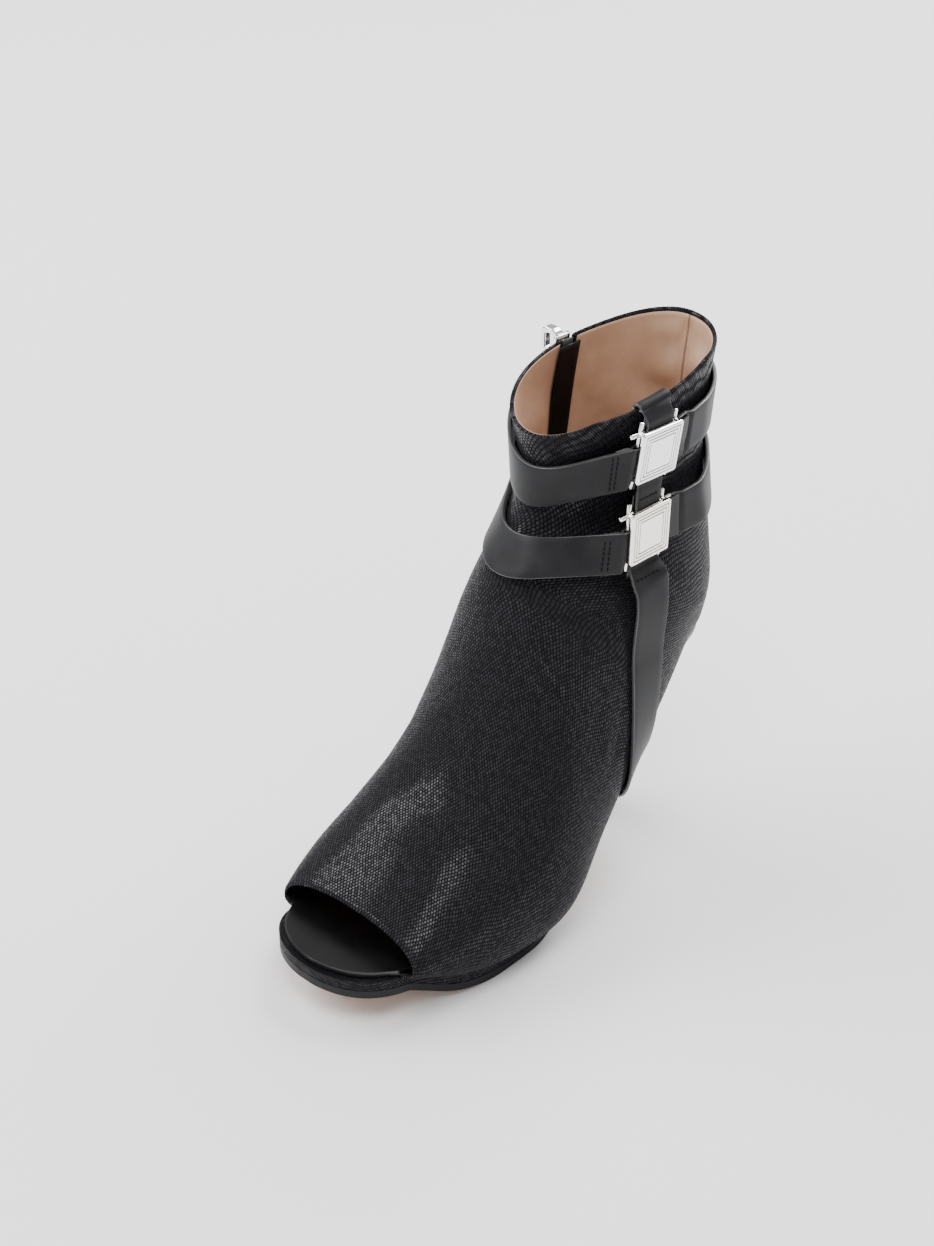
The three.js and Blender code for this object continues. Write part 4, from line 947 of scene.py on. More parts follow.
def makeHeel():
    downs = np.concatenate([[0, 0.012, 0.03, 0.06], np.linspace(0.08, 1, 44)])
    points, faces = tube(np.array([heelRing(d) for d in downs]))
    piece("heelBlock", points, faces, heelLeather, ["heel"])
    ring = heelRing(1.0)
    thick = heel["tipThickness"]
    tip = np.array([ring * [1, 1, 0] + [0, 0, z] for z in (thick, thick / 2, 0)])
    points, faces = tube(tip)
    roundEdges(piece("heelTip", points, faces, rubber, ["heel_tip"]), 0.4)


makeSole()
makePlatform()
makeFootbed()
makeHeel()
print("the bottom and the heel are made")


# Plates and straps

plateSide, plateThickness, barRadius, barInset, postLength, cornerBlock = 21.4, 1.6, 0.9, 1.5, 3.4, 2.4
strapWidth, strapThickness, foldLength = 18, 1.6, 12
bandWidth, bandThickness = 17, 1.5
foldThickness = 0.85  # straps are thinned where they turn around a bar
eyeRadius = barRadius + gap + 0.8
barPlace = plateSide / 2 - barInset
betweenPosts = 2 * (barPlace - barRadius - gap)
eyeReach = barPlace - eyeRadius - gap
loopEdge = plateSide / 2 + gap
pastPosts = plateSide / 2 + postLength + gap
endOfLoop = loopEdge + 1.2
upperStrapLine = table(
    "front height",
    (0, 0.77),
    (0.3, 0.772),
    (0.56, 0.776),
    (0.76, 0.748),
    (0.9, 0.698),
    (1, 0.65),
)
lowerStrapLine = table(
    "front height",
    (0, 0.535),
    (0.35, 0.524),
    (0.6, 0.515),
    (0.78, 0.495),
    (0.9, 0.467),
    (1, 0.443),
)
sideBand = table(
    "drop place",
    (0, 0.351),
    (0.2, 0.336),
    (0.45, 0.328),
    (0.75, 0.336),
    (1, 0.342),
)


def plateFrame(place, height, yaw, tilt, roll):
    y, z = place * lastLength, heightAt(height)
    point = shaftPoint(turnAt(y, z, 1), z)
    yaw, tilt, roll = map(math.radians, (yaw, tilt, roll))
    out = np.array([math.cos(yaw) * math.cos(tilt), math.sin(yaw) * math.cos(tilt), math.sin(tilt)])
    level = np.array([-math.sin(yaw), math.cos(yaw), 0])
    plumb = np.cross(out, level)
    along = level * math.cos(roll) + plumb * math.sin(roll)
    up = plumb * math.cos(roll) - level * math.sin(roll)
    reach = np.linspace(-1, 1, 7) * (plateSide / 2 + barRadius)
    a, b = (g.reshape(-1, 1) for g in np.meshgrid(reach, reach))
    near = point + a * along + b * up
    onShaft = shaftPoint(turnAt(near[:, 1], near[:, 2], 1), near[:, 2])
    bars = max(0, ((onShaft - point) @ out).max()) + gap + eyeRadius
    return dict(point=point, out=out, along=along, up=up, bars=bars,
                face=bars + eyeRadius + gap + plateThickness)


def onPlate(f, a, b, c):
    return f["point"] + a * f["along"] + b * f["up"] + c * f["out"]


squareCorners = ((1, 1, 0), (-1, 1, 90), (-1, -1, 180), (1, -1, 270))  # sides, and where each arc starts


def plateFace(f, look):
    # rings from the back over the rim and the grooves to the middle, and which of them are sunk
    profile = [(0.0, -plateThickness), (0, -look["bevel"]), (0.1, -0.15), (look["bevel"], 0)]
    width, depth = look["grooveWidth"], look["grooveDepth"]
    for inset in look["grooves"]:
        profile += [(inset, 0), (inset + 0.1, -depth), (inset + width - 0.1, -depth), (inset + width, 0)]
    rings = []
    for inset, height in profile:
        half, r = plateSide / 2 - inset, max(0.15, look["round"] - inset)
        ring = []
        for sx, sy, start in squareCorners:
            for angle in np.radians(start + np.linspace(0, 90, look["cornerPoints"])):
                ring.append(onPlate(f, sx * (half - r) + r * math.cos(angle),
                                    sy * (half - r) + r * math.sin(angle), f["face"] + height))
        rings.append(ring)
    sunk = [float(height < 0 and inset > look["bevel"]) for inset, height in profile]
    return np.array(rings), np.repeat(sunk, len(rings[0]))


def makePlate(name, node, f, hidden, material):
    # hidden posts end inside the plate's outline
    look = dict(round=1.0, cornerPoints=6, bevel=0.35, grooves=(1.3, 2.6, 3.9),
                grooveWidth=0.5, grooveDepth=0.5, sharp=38)
    rings, sunk = plateFace(f, look)
    parts = [tube(rings)]
    reach = plateSide / 2 + postLength
    blockPlace = plateSide / 2 - cornerBlock / 2 - 0.1
    bars, back = f["bars"], f["face"] - plateThickness / 2
    for side in (-1, 1):
        place = side * barPlace
        names = ("frontBottom", "backBottom") if side < 0 else ("frontTop", "backTop")
        left, right = (sign * (barPlace if n in hidden else reach) for sign, n in zip((-1, 1), names))
        parts.append(rod(onPlate(f, place, -reach, bars), onPlate(f, place, reach, bars), barRadius))
        parts.append(rod(onPlate(f, left, place, bars), onPlate(f, right, place, bars), barRadius))
        for other in (-1, 1):
            a, b = side * blockPlace, other * blockPlace
            parts.append(rod(onPlate(f, a, b, bars), onPlate(f, a, b, back), cornerBlock / 2, 16, 0.2))
    points, faces = joined(parts)
    marks = {"groove": np.concatenate([sunk, np.zeros(len(points) - len(sunk))])}
    made = piece(name, points, faces, material, [node], marks=marks)
    made.data.set_sharp_from_angle(angle=math.radians(look["sharp"]))
    return made


def frameOf(point, across, out, width, thick):
    return dict(point=point, across=across, out=out, width=width, thick=thick)


def aroundBar(centre, away, out, across, width, thick, lead, count=14):
    # a fold: along the top, around the bar and back underneath, outer face first
    frames = []
    for k in range(count + 1):
        a = math.pi * k / count
        normal = math.cos(a) * out - math.sin(a) * away
        frames.append(frameOf(centre + eyeRadius * normal, across, normal, width, foldThickness))
    top = []
    for d in (3, 2, 1.2, 0.5):
        point = centre + d * away + mix(eyeRadius, lead, fade(0, 3, d)) * out
        top.append(frameOf(point, across, out, width, mix(foldThickness, thick, fade(0, 3, d))))
    return top + frames


def lengthsAlong(points):
    return np.concatenate([[0], np.cumsum(np.linalg.norm(np.diff(points, axis=0), axis=-1))])


def strip(name, rings, width, thick, node):
    points, faces = tube(rings)
    outline = roundedOutline(width, thick, strapEdge)
    # the rim mark on the strap's edges, where the lighter edge colour paints a worn edge and partly a
    # highlight
    rimShare = fade(width / 2 - 0.38, width / 2 - 0.05, np.abs(outline[:, 0]))
    marks = {"rim": np.tile(rimShare, len(rings))}
    return piece(name, points, faces, strapLeather, [node], marks=marks)


def stitchRow(points, outs, pitch=2.1, length=1.45, radius=0.3, proud=0.12):
    # short rods along a line over a strap, partly sunk in it
    points, outs = np.asarray(points), np.asarray(outs)
    far = lengthsAlong(points)
    made = []
    for start in np.arange(0.4, far[-1] - length, pitch):
        ends = []
        for s in (start, start + length):
            p = np.array([np.interp(s, far, points[:, c]) for c in range(3)])
            o = unit(np.array([np.interp(s, far, outs[:, c]) for c in range(3)]))
            ends.append(p + proud * o)
        made.append(rod(ends[0], ends[1], radius, 8, 0.2))
    return made


def addStitches(name, rows):
    points, faces = joined([r for row in rows for r in row])
    piece(name, points, faces, thread)


def bent(line, turn, lift, across, depth):
    # points of a strap bent to the shaft: across is a share of its width, depth 0 at its outer face
    turn, lift = np.atleast_1d(turn), np.atleast_1d(lift)
    z = lineHeight(line, turn)
    up = unit(shaftPoint(turn, z + 3) - shaftPoint(turn, z - 3))
    rise = strapWidth * up[..., 2]
    off = gap + lift[:, None] + strapThickness + depth
    return shaftPoint(turn[:, None], z[:, None] + across * rise[:, None], -off)


def straighten(rings, outline, width):
    # a strap is stiff across: each section becomes a straight one that clears the shaft
    x, depth = outline[:, 0] / width, outline[:, 1]
    high, low = rings[:, np.argmax(x + depth)], rings[:, np.argmin(x - depth)]
    across = high - low
    turned = unit(np.cross(across, np.gradient(rings.mean(1), axis=0)))
    middle = (high + low) / 2
    outward = rings[:, np.argmax(depth - np.abs(x))] - rings[:, np.argmin(depth + np.abs(x))]
    turned = turned * np.sign((turned * outward).sum(-1, keepdims=True))
    chord = middle[:, None] + x[:, None] * across[:, None] + depth[:, None] * turned[:, None]
    above = ((rings - chord) * turned[:, None]).sum(-1).max(-1)
    return chord + (np.maximum(0, above) * 0.9)[:, None, None] * turned[:, None]


def strapRun(line, f, sign, drop, soften, outline):
    # rings from beside the zip to the posts of the plate, and how far each is from the plate's middle
    look = dict(steps=70, lift=0.4, rings=110, atPosts=17.2, leftOut=4, sinks=0.3)
    medial = lineHeight(line, -math.pi / 2)
    stop = turnAt(zipY(medial) + sign * zipper["stop"], medial, -1)
    begin = onPlate(f, sign * (barPlace + foldLength), 0, 0)
    first = turnAt(begin[1], lineHeight(line, math.pi / 2), 1)
    last = stop if sign < 0 else stop + 2 * math.pi
    k = np.linspace(0, 1, look["steps"] + 1)
    height = (f["bars"] - strapThickness - gap) * (1 - fade(0, look["sinks"], k))
    lift = np.maximum(0, height) + look["lift"]
    free = bent(line, mix(first, last, k), lift, outline[:, 0] / strapWidth, outline[:, 1])
    free = straighten(free, outline, strapWidth)
    # from the first free rings to the flat part beside the plate, in one smooth run
    flat = []
    for a, width in ((pastPosts - 1, look["atPosts"]), (endOfLoop, betweenPosts)):
        point = onPlate(f, sign * a, drop, f["bars"] + strapThickness)
        flat.append(frameOf(point, f["up"], f["out"], width, strapThickness))
    run = np.concatenate([free[:look["leftOut"]:-1], stripRings(flat)])
    far = lengthsAlong(run.mean(1))
    s = np.linspace(0, far[-1], look["rings"])
    run = np.stack([smooth(far, c, s) for c in run.reshape(len(run), -1).T], -1)
    run = run.reshape(look["rings"], -1, 3)
    soft = run.copy()
    for _ in range(soften):
        soft[1:-6] = soft[1:-6] / 2 + (soft[:-7] + soft[2:-5]) / 4
    return mix(run, soft, fade(12, 40, s)[:, None, None]), endOfLoop + far[-1] - s


def makeStrap(name, node, line, f, sign, low, stitchAt, soften, endOnTop=False):
    # around the shaft from a plate's bar, with its folded end behind the strap or on top of it
    look = dict(foldEnd=19, topEnd=17.6, thinEnd=0.7, thinned=5, seam=1.3)
    outline = roundedOutline(strapWidth, strapThickness, strapEdge)
    bar = onPlate(f, sign * barPlace, 0, 0)
    drop = float(lineHeight(line, turnAt(bar[1], bar[2], 1)) - bar[2]) if low else 0
    bottom, top = max(-eyeReach, drop - betweenPosts / 2), min(eyeReach, drop + betweenPosts / 2)
    run, reachOf = strapRun(line, f, sign, drop, soften, outline)
    topAt = int(np.argmin(np.abs(outline[:, 0]) + 100 * (outline[:, 1] < -0.1)))
    backAt = int(np.argmin(np.abs(outline[:, 0]) + 100 * (outline[:, 1] > 0.1 - strapThickness)))
    edgeOn = np.where(outline[:, 1] > -0.01)[0]
    rightAt, leftAt = edgeOn[np.argmax(outline[edgeOn, 0])], edgeOn[np.argmin(outline[edgeOn, 0])]
    wide = 1 / (outline[rightAt, 0] - outline[leftAt, 0])

    def frameNear(a):
        i = int(np.argmin(np.abs(reachOf - a)))
        span = run[i, rightAt] - run[i, leftAt]
        return frameOf(run[i, topAt], unit(span), unit(run[i, topAt] - run[i, backAt]),
                       np.linalg.norm(span) * wide * strapWidth, strapThickness)

    centre = onPlate(f, sign * barPlace, (bottom + top) / 2, f["bars"])
    fold = aroundBar(centre, sign * f["along"], f["out"], f["up"], top - bottom, strapThickness - 0.1,
                     strapThickness)[2:]
    second = []
    reach = look["topEnd"] if endOnTop else look["foldEnd"]
    thinning = 0.5 if endOnTop else look["thinned"]
    for a in np.linspace(endOfLoop, reach, 12):
        g = frameNear(a)
        thick = mix(strapThickness - 0.15, look["thinEnd"], fade(reach - thinning, reach, a))
        if endOnTop:
            second.append(frameOf(g["point"] + g["out"] * 0.06, g["across"], g["out"], g["width"], thick))
        else:
            point = g["point"] - g["out"] * (strapThickness + 0.05 + thick)
            second.append(frameOf(point, g["across"], -g["out"], g["width"] - 0.4, thick))
    if endOnTop:
        # the strap dives under its own folded end
        dive = (strapThickness + 0.1) * (1 - fade(look["topEnd"] + 0.3, look["topEnd"] + 3.2, reachOf))
        outs = unit(run[:, topAt] - run[:, backAt])
        run = run - outs[:, None] * dive[:, None, None]
        # its outer face turns to the inside around the bar, so the section is turned over from there on
        flip = np.array([int(np.argmin(np.hypot(outline[:, 0] - x, outline[:, 1] + y + strapThickness)))
                         for x, y in outline])
        rings = np.concatenate([run, stripRings(fold[::-1] + second)[:, flip]])
    else:
        rings = np.concatenate([run, stripRings(fold + second)])
    strip(name, rings, strapWidth, strapThickness, node)
    rows = []
    for a in stitchAt:
        g = frameNear(a)
        half = g["width"] / 2 - look["seam"]
        x = np.linspace(-half, half, 6)[:, None]
        off = 0.06 * g["out"] if endOnTop else 0
        rows.append(stitchRow(g["point"] + off + x * g["across"], np.repeat(g["out"][None], 6, 0)))
    addStitches(name + "Stitches", rows)


def smoothPath(frames, count):
    # more frames along a bent strip, through the given ones
    far = lengthsAlong(np.array([f["point"] for f in frames]))
    s = np.linspace(0, far[-1], count)

    def pick(key):
        values = np.array([f[key] for f in frames])
        return np.stack([smooth(far, values[:, c], s) for c in range(3)], -1)

    widths = np.interp(s, far, [f["width"] for f in frames])
    thicks = np.interp(s, far, [f["thick"] for f in frames])
    each = zip(pick("point"), unit(pick("across")), unit(pick("out")), widths, thicks)
    return [frameOf(*values) for values in each]


def makeStrapTop(f):
    # over the collar's edge, bent to it across its width, and down inside
    look = dict(tuck=12, off=0.25, yaw=-3, rise=9.5)
    width = 2 * min(bandWidth / 2, eyeReach)
    outline = roundedOutline(width, bandThickness, strapEdge)
    x, depth = outline[:, 0], outline[:, 1]
    yaw = math.radians(look["yaw"])
    level, up = np.array([math.cos(yaw), math.sin(yaw), 0]), np.array([0, 0, 1.0])
    start = onPlate(f, 0, barPlace, 0)
    turn = turnAt(start[1] + x, collarHeight(math.pi / 2) - 2, 1)
    edge = collarHeight(turn)
    rings = []
    off = look["off"] + bandThickness + depth
    for e in np.linspace(3, look["rise"], 8):  # from the bar up to the collar
        flat = (f["point"] + x[:, None] * f["along"] + (barPlace + e) * f["up"]
                + (f["bars"] + bandThickness + depth)[:, None] * f["out"])
        onWall = shaftPoint(turn, np.minimum(flat[:, 2], edge - 0.6), -off)
        rings.append(mix(flat, onWall, float(fade(3.5, look["rise"], e))))
    rise = edge - rings[-1][:, 2]
    rings.append(shaftPoint(turn, edge - 0.5 * rise, -off))
    middle = shaftPoint(turn, edge - 0.1, wall / 2)
    reach = (wall / 2 + off)[:, None]
    for a in np.linspace(0.05, math.pi - 0.05, 12):
        rings.append(middle + reach * (math.cos(a) * level + 0.8 * math.sin(a) * up))
    for d in np.linspace(1.5, look["tuck"], 7):
        down = shaftPoint(turn, edge - d, wall) - shaftPoint(turn, edge - 0.1, wall)
        rings.append(middle - reach * level + down)
    fold = aroundBar(onPlate(f, 0, barPlace, f["bars"]), f["up"], f["out"], f["along"], width,
                     bandThickness - 0.1, bandThickness)[1:]
    under = []
    for d in (1.5, 3, 4.5, 5.5):
        point = onPlate(f, 0, barPlace + d, f["bars"] - bandThickness)
        thick = mix(bandThickness - 0.2, 0.6, fade(3, 5.5, d))
        under.append(frameOf(point, f["along"], -f["out"], width - 0.4, thick))
    rings = np.concatenate([np.array(rings)[::-1], stripRings(fold + under)])
    strip("strapTop", rings, width, bandThickness, "strap_top")


def makeStrapMid(top, bottom):
    look = dict(outer=(0.35, 0.5, 0.65), under=(0.2, 0.3, 0.42), thinEnd=0.6, stitches=0.64)
    width = 2 * min(bandWidth / 2, eyeReach) - 2 * gap
    a, b = onPlate(top, 0, -barPlace, top["bars"]), onPlate(bottom, 0, barPlace, bottom["bars"])
    thick = bandThickness - 0.1
    foldA = aroundBar(a, -top["up"], top["out"], top["along"], width, thick, bandThickness)
    foldB = aroundBar(b, bottom["up"], bottom["out"], bottom["along"], width, thick, bandThickness)
    outer = []
    for k in look["outer"]:
        out = unit(mix(top["out"], bottom["out"], k))
        across = unit(mix(top["along"], bottom["along"], k))
        outer.append(frameOf(mix(a, b, k) + out * bandThickness, across, out, width, thick))

    def foldedEnd(near, far, nearPlate, farPlate):
        frames = []
        for k in look["under"]:
            out = unit(mix(nearPlate["out"], farPlate["out"], k))
            point = mix(near, far, k) - out * bandThickness
            thin = mix(1.2, look["thinEnd"], k / look["under"][-1])
            frames.append(frameOf(point, nearPlate["along"], -out, width - 0.4, thin))
        return frames

    frames = foldedEnd(a, b, top, bottom)[::-1] + foldA[::-1][:-1] + outer + foldB[1:]
    frames += foldedEnd(b, a, bottom, top)
    strip("strapMid", stripRings(frames), width, bandThickness, "strap_mid")
    out = unit(top["out"] + bottom["out"])
    x = np.linspace(-width / 2 + 1, width / 2 - 1, 8)[:, None]
    line = mix(a, b, look["stitches"]) + out * bandThickness + x * unit(top["along"] + bottom["along"])
    addStitches("strapMidStitches", [stitchRow(line, np.repeat(out[None], 8, 0), 1.7, 1.1, 0.25)])


def sidePoint(y, turn):
    # the lateral wall of the foot where a section's turn reaches y
    y, turn = np.broadcast_arrays(np.asarray(y, float), np.asarray(turn, float))
    s = (1 + np.cos(turn)) / 2
    return skin(solve(lambda t: mix(at("botY", t), at("topY", t), s), y, opening, collar, 30), turn)


def sideClearance(point, y, turn, up, across, out):
    # how far a strap over these points stands off, so that all its width clears the foot
    clear = np.zeros(len(turn))
    for w in np.linspace(-0.5, 0.5, 7):
        for rise in (-2, 0, 2):
            place = y + w * bandWidth * across[:, 1]

            def down(a):
                return ((point - sidePoint(place, a)) * up).sum(-1)

            near = sidePoint(place, solve(down, np.full(len(turn), -float(rise)), turn - 0.6,
                                          np.minimum(math.pi, turn + 0.6), 22))
            clear = np.maximum(clear, ((near - point) * out).sum(-1))
    return clear


def makeStrapDown(f):
    look = dict(steps=34, tuck=0.16, lift=0.15, frames=70, under=(1.5, 3, 5, 8, 10), stitches=8.5, seam=1.2)
    half = min(bandWidth / 2, eyeReach)
    start = onPlate(f, 0, -barPlace - 1, f["bars"] + bandThickness)
    knots, places = column(sideBand, "drop"), column(sideBand, "place", lastLength)
    end = math.pi - look["tuck"]
    begin = float(solve(lambda a: -sidePoint(start[1], a)[..., 2],
                        np.array(foldLength - start[2]), 0.5, end, 30))
    k = np.linspace(0, 1, look["steps"])
    turn = mix(begin, end, k)
    y = smooth(knots, places, k) + (start[1] - places[0]) * (1 - k)
    point = sidePoint(y, turn)
    up = unit(sidePoint(y, turn - 0.03) - sidePoint(y, turn + 0.03))
    across = sidePoint(y + 3, turn) - sidePoint(y - 3, turn)
    across = unit(across - up * (across * up).sum(-1, keepdims=True))
    out = unit(np.cross(across, up))
    clear = sideClearance(point, y, turn, up, across, out) + gap + look["lift"]
    off = clear + (f["bars"] - eyeRadius) * (1 - fade(0, 0.25, k)) + bandThickness
    lower = [frameOf(p, a, o, bandWidth, bandThickness)
             for p, a, o in zip(point + out * off[:, None], across, out)]
    neck = []
    for d in (3, 4.2):
        place = onPlate(f, 0, -barPlace - d, f["bars"] + bandThickness)
        width = mix(2 * half, betweenPosts, fade(1.5, 4, d))
        neck.append(frameOf(place, f["along"], f["out"], width, bandThickness - 0.05))
    path = smoothPath(neck + lower, look["frames"])[::-1]
    fold = aroundBar(onPlate(f, 0, -barPlace, f["bars"]), -f["up"], f["out"], f["along"], 2 * half,
                     bandThickness - 0.1, bandThickness)[1:]
    under = []
    for d in look["under"]:
        place = onPlate(f, 0, -barPlace - d, f["bars"] - bandThickness)
        under.append(frameOf(place, f["along"], -f["out"], 2 * half - 0.4, mix(1.3, 0.6, fade(7, 10, d))))
    strip("strapDown", stripRings(path + fold + under), bandWidth, bandThickness, "strap_down")
    g = min(path, key=lambda g: abs(np.linalg.norm(g["point"] - start) - look["stitches"]))
    x = np.linspace(-g["width"] / 2 + look["seam"], g["width"] / 2 - look["seam"], 8)[:, None]
    row = stitchRow(g["point"] + x * g["across"], np.repeat(g["out"][None], 8, 0))
    addStitches("strapDownStitches", [row])


topPlate = plateFrame(place=0.394, height=0.778, yaw=-3, tilt=-5, roll=-4)
bottomPlate = plateFrame(place=0.367, height=0.52, yaw=-1, tilt=1, roll=-3)
makePlate("plateUpper", "plate_upper", topPlate, ("frontBottom", "backTop"), brightPlate)
makePlate("plateLower", "plate_lower", bottomPlate, ("frontBottom",), warmPlate)
makeStrap("strapUpperFront", "strap_upper_front", upperStrapLine, topPlate, -1, True, (18.6, 20.2), 6)
makeStrap("strapUpperBack", "strap_upper_back", upperStrapLine, topPlate, 1, False, (16.4,), 6, True)
makeStrap("strapLowerFront", "strap_lower_front", lowerStrapLine, bottomPlate, -1, True, (18.6, 20.2), 40)
makeStrap("strapLowerBack", "strap_lower_back", lowerStrapLine, bottomPlate, 1, False, (16.4,), 6, True)
makeStrapTop(topPlate)
makeStrapMid(topPlate, bottomPlate)
makeStrapDown(bottomPlate)
print("straps and plates are made")


# The zip

tapeInset = 0.35 * wall
sliderBase = zipper["rise"] - tapeInset + gap
pullBar = 1.8  # thickness of the pull's bar


def bandAlong(z, width, low, high):
    point, across, out, _ = zipFrames(z)
    frames = [frameOf(p + o * high, a, o, width, high - low) for p, a, o in zip(point, across, out)]
    return stripRings(frames)


def zipHeights(top, bottom, count=60):
    return np.linspace(zipEdge - top, zipEdge - zipper["length"] + bottom, count)


toothSections = table(
    "reach half low high",
    (1.3, 0.36, -0.9, -0.3),
    (1.15, 0.42, -0.9, 0.15),
    (0.2, 0.42, -0.9, 0.3),
    (-0.35, 0.3, -0.8, 0.15),
    (-0.45, 0.2, -0.6, -0.1),
)


def makeZipTape():
    look = dict(pitch=1.55, ends=2)
    z = np.minimum(zipHeights(1, gap), zipEdge - 1)
    points, faces = tube(bandAlong(z, zipper["slit"] - 3 * gap, -tapeInset - zipper["tape"], -tapeInset))
    piece("zipTape", points, faces, zipCloth, ["zip_tape"])
    first, last = zipEdge - look["ends"], zipEdge - zipper["length"] + look["ends"]
    teeth = []
    for i, (p, a, o, l) in enumerate(zip(*zipFrames(np.arange(first, last, -look["pitch"] / 2)))):
        side = 1 if i % 2 else -1
        rings = []
        for part in toothSections:
            half, low, high = part["half"], part["low"], part["high"]
            corners = ((half, low), (half, high), (-half, high), (-half, low))
            rings.append([p + side * part["reach"] * a + c * l + d * o for c, d in corners])
        teeth.append(tube(np.array(rings)))
    points, faces = joined(teeth)
    roundEdges(piece("zipTeeth", points, faces, nickel), 0.1, 30, 1)


def makeZipGuard():
    look = dict(width=11, thick=0.9)
    face = -wall - 3 * gap
    points, faces = tube(bandAlong(zipHeights(2, gap), look["width"], face - look["thick"], face))
    piece("zipGuard", points, faces, footbedLeather, ["zip_guard"],
          marks={"rim": np.zeros(len(points))})


sliderSections = table(
    "along width low high",
    (-5.5, 4.6, 0.5, 1.7),
    (-5.1, 5.4, 0.2, 2.2),
    (-4, 6.0, 0, 2.5),
    (-1, 6.8, 0, 2.6),
    (2, 7.8, 0, 2.6),
    (4.2, 8.0, 0, 2.5),
    (5.1, 7.6, 0.2, 2.2),
    (5.5, 6.8, 0.5, 1.7),
)


def makeSlider():
    # the slider with its crown. Gives the place where the pull's bar hangs in it
    look = dict(thick=2.6, drop=5)
    crown = dict(width=4, length=14, rise=9.2, bar=2.4, bend=2.2, edge=0.7, cornerPoints=9)
    (p,), (a,), (o,), (l,) = zipFrames(np.array([zipEdge - look["drop"]]))
    rings = []
    for part in sliderSections:
        thick = part["high"] - part["low"]
        outline = roundedOutline(part["width"], thick, 0.45 * thick)
        height = sliderBase + part["high"] + outline[:, 1:]
        rings.append(p + l * part["along"] + outline[:, :1] * a + height * o)
    parts = [tube(np.array(rings))]
    out, along, across = np.array([-1.0, 0, 0]), np.array([0, 0, 1.0]), np.array([0, 1.0, 0])
    reach = crown["rise"] - sliderBase
    foot = sliderBase + look["thick"] * 0.4
    middle = p + out * (foot + reach / 2)
    halfW, halfL, r = reach / 2 - crown["bar"] / 2, crown["length"] / 2 - crown["bar"] / 2, crown["bend"]
    section = roundedOutline(crown["width"], crown["bar"], crown["edge"])
    loop = []
    for sx, sy, start in squareCorners:
        for angle in np.radians(start + np.linspace(0, 90, crown["cornerPoints"])):
            normal = math.cos(angle) * out + math.sin(angle) * along
            centre = middle + sx * (halfW - r) * out + sy * (halfL - r) * along + r * normal
            loop.append(centre + section[:, :1] * across + (section[:, 1:] + crown["bar"] / 2) * normal)
    parts.append(tube(np.array(loop), closed=True))
    points, faces = joined(parts)
    piece("zipSlider", points, faces, nickel, ["zip_slider"])
    inside = gap + pullBar / 2
    return (p + out * (foot + reach - crown["bar"] - inside)
            + along * (-crown["length"] / 2 + crown["bar"] + inside))


pullWindow = 5.6
pullSections = table(
    "along narrower thick",
    (pullWindow, 0.5, 1.2),
    (pullWindow + 0.3, 0, 1.8),
    (pullWindow + 2.4, 0, 1.8),
    (pullWindow + 2.9, 0, 2.9),
    (pullWindow + 3.4, 0, 3.0),
    (27.6, 0, 3.0),
    (29.0, 0, 2.9),
    (29.6, 0, 1.9),
    (30.2, 0.2, 1.7),
    (30.7, 0.7, 1.4),
    (31, 1.3, 0.9),
)


def makePull(pivot):
    # the pull hangs from its bar: two arms beside a window, then the tab
    look = dict(width=7.6, inner=2.39, armEdge=0.4, edge=0.42, sharp=50)
    along, across, out = np.array([0, 0, -1.0]), np.array([0, 1.0, 0]), np.array([1.0, 0, 0])
    half = look["width"] / 2
    parts = [rod(pivot - across * half, pivot + across * half, pullBar / 2)]
    arm = half - look["inner"]
    outline = roundedOutline(arm, pullBar, look["armEdge"])
    section = outline[:, :1] * across + (outline[:, 1:] + pullBar / 2) * out
    for side in (-1, 1):
        middle = pivot + side * (half - arm / 2) * across
        places = (0, 1, pullWindow, pullWindow + 1)
        parts.append(tube(np.array([middle + along * d + section for d in places])))
    rings = []
    for part in pullSections:
        thick = part["thick"]
        outline = roundedOutline(2 * (half - part["narrower"]), thick, look["edge"] * min(thick, 1.4))
        section = outline[:, :1] * across + (outline[:, 1:] + thick / 2) * out
        rings.append(pivot + along * part["along"] + section)
    parts.append(tube(np.array(rings)))
    points, faces = joined(parts)
    made = piece("zipPull", points, faces, nickel, ["zip_pull"], body="pull")
    made.data.set_sharp_from_angle(angle=math.radians(look["sharp"]))


makeZipTape()
makeZipGuard()
makePull(makeSlider())
print("the zip is made")


# Floor, light and camera

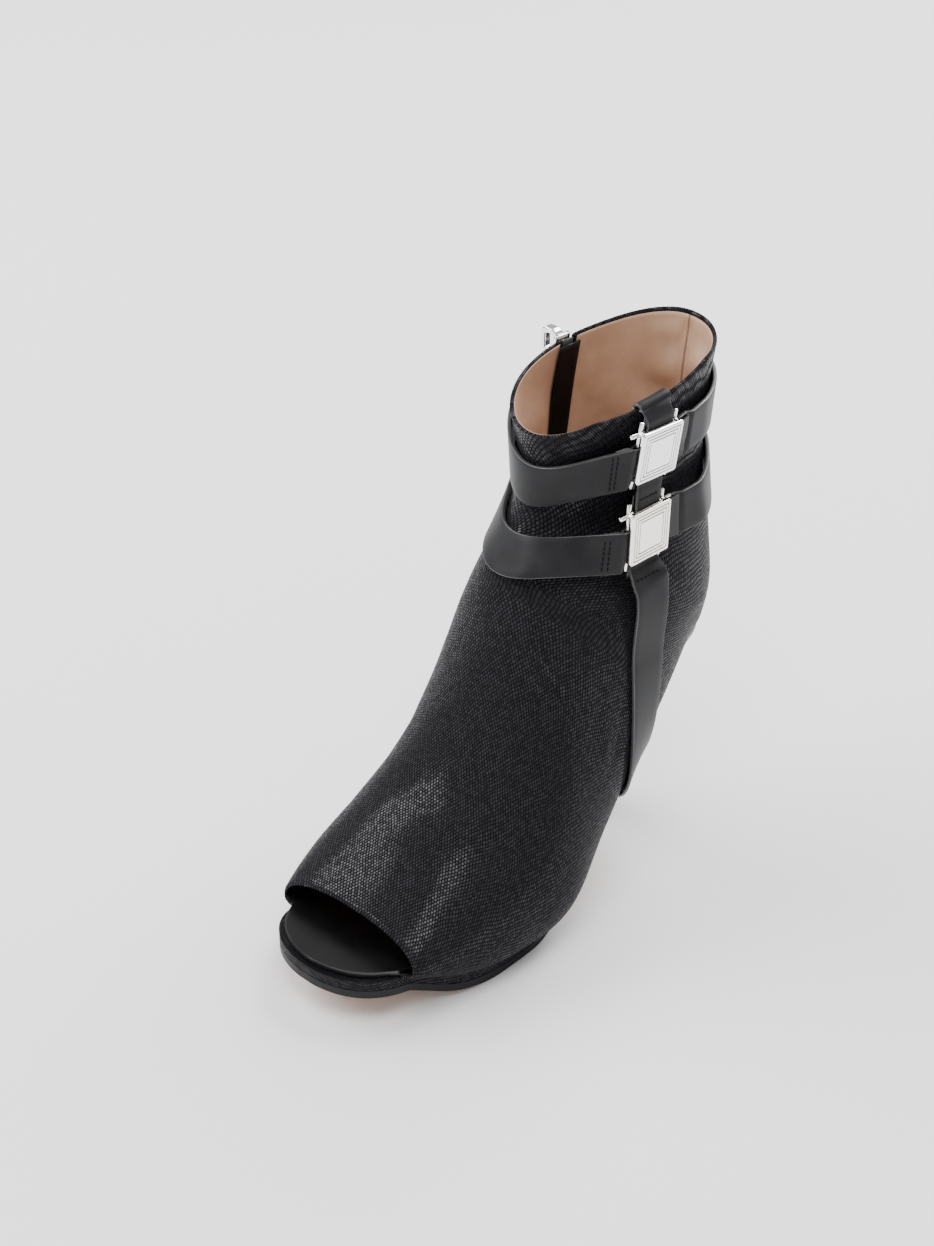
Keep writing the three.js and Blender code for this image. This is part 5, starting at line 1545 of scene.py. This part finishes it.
def makeStage():
    half = 15  # metres from the middle of the floor to its edges
    mesh = bpy.data.meshes.new("floor")
    corners = [(x * half, y * half, 0) for x, y in ((-1, -1), (1, -1), (1, 1), (-1, 1))]
    mesh.from_pydata(corners, [], [(0, 1, 2, 3)])
    floor = bpy.data.objects.new("floor", mesh)
    bpy.context.scene.collection.objects.link(floor)
    made, _, shader = newMaterial("floorPaper")
    shader["Base Color"].default_value = (0.93, 0.93, 0.935, 1)
    shader["Roughness"].default_value = 0.9
    mesh.materials.append(made)
    world = bpy.data.worlds.new("studio")
    bpy.context.scene.world = world
    world.use_nodes = True
    backdrop = world.node_tree.nodes["Background"].inputs
    backdrop["Color"].default_value = (0.93, 0.94, 0.96, 1)
    backdrop["Strength"].default_value = 0.68
    lamps = [
        dict(name="leftSoftbox", place=(-1.3, -0.5, 1.2), wide=2.0, tall=0.6, power=38),
        dict(name="topSoftbox", place=(0.35, -0.35, 1.75), wide=0.9, tall=0.9, power=20),
        dict(name="backSoftbox", place=(-0.1, 1.5, 1.6), wide=1.4, tall=1.2, power=56),
    ]
    for lamp in lamps:
        light = bpy.data.lights.new(lamp["name"], "AREA")
        light.shape, light.energy = "RECTANGLE", lamp["power"]
        light.size, light.size_y = lamp["wide"], lamp["tall"]
        made = bpy.data.objects.new(lamp["name"], light)
        bpy.context.scene.collection.objects.link(made)
        made.location = lamp["place"]
        aim = Vector((0, 0.03, 0.08)) - Vector(lamp["place"])
        made.rotation_euler = aim.to_track_quat("-Z", "Y").to_euler()


def makeCamera():
    shot = dict(azimuth=42.89, elevation=34.14, eye=(514.1, -535.1, 643.3), lens=71.13)
    data = bpy.data.cameras.new("camera")
    data.lens, data.sensor_width = shot["lens"], 36
    made = bpy.data.objects.new("camera", data)
    bpy.context.scene.collection.objects.link(made)
    a, e = math.radians(shot["azimuth"]), math.radians(shot["elevation"])
    back = Vector((math.sin(a) * math.cos(e), -math.cos(a) * math.cos(e), math.sin(e)))
    made.location = [v * mm for v in shot["eye"]]
    made.rotation_euler = (-back).to_track_quat("-Z", "Y").to_euler()
    bpy.context.scene.camera = made


makeStage()
makeCamera()
print("floor, light and camera are set")
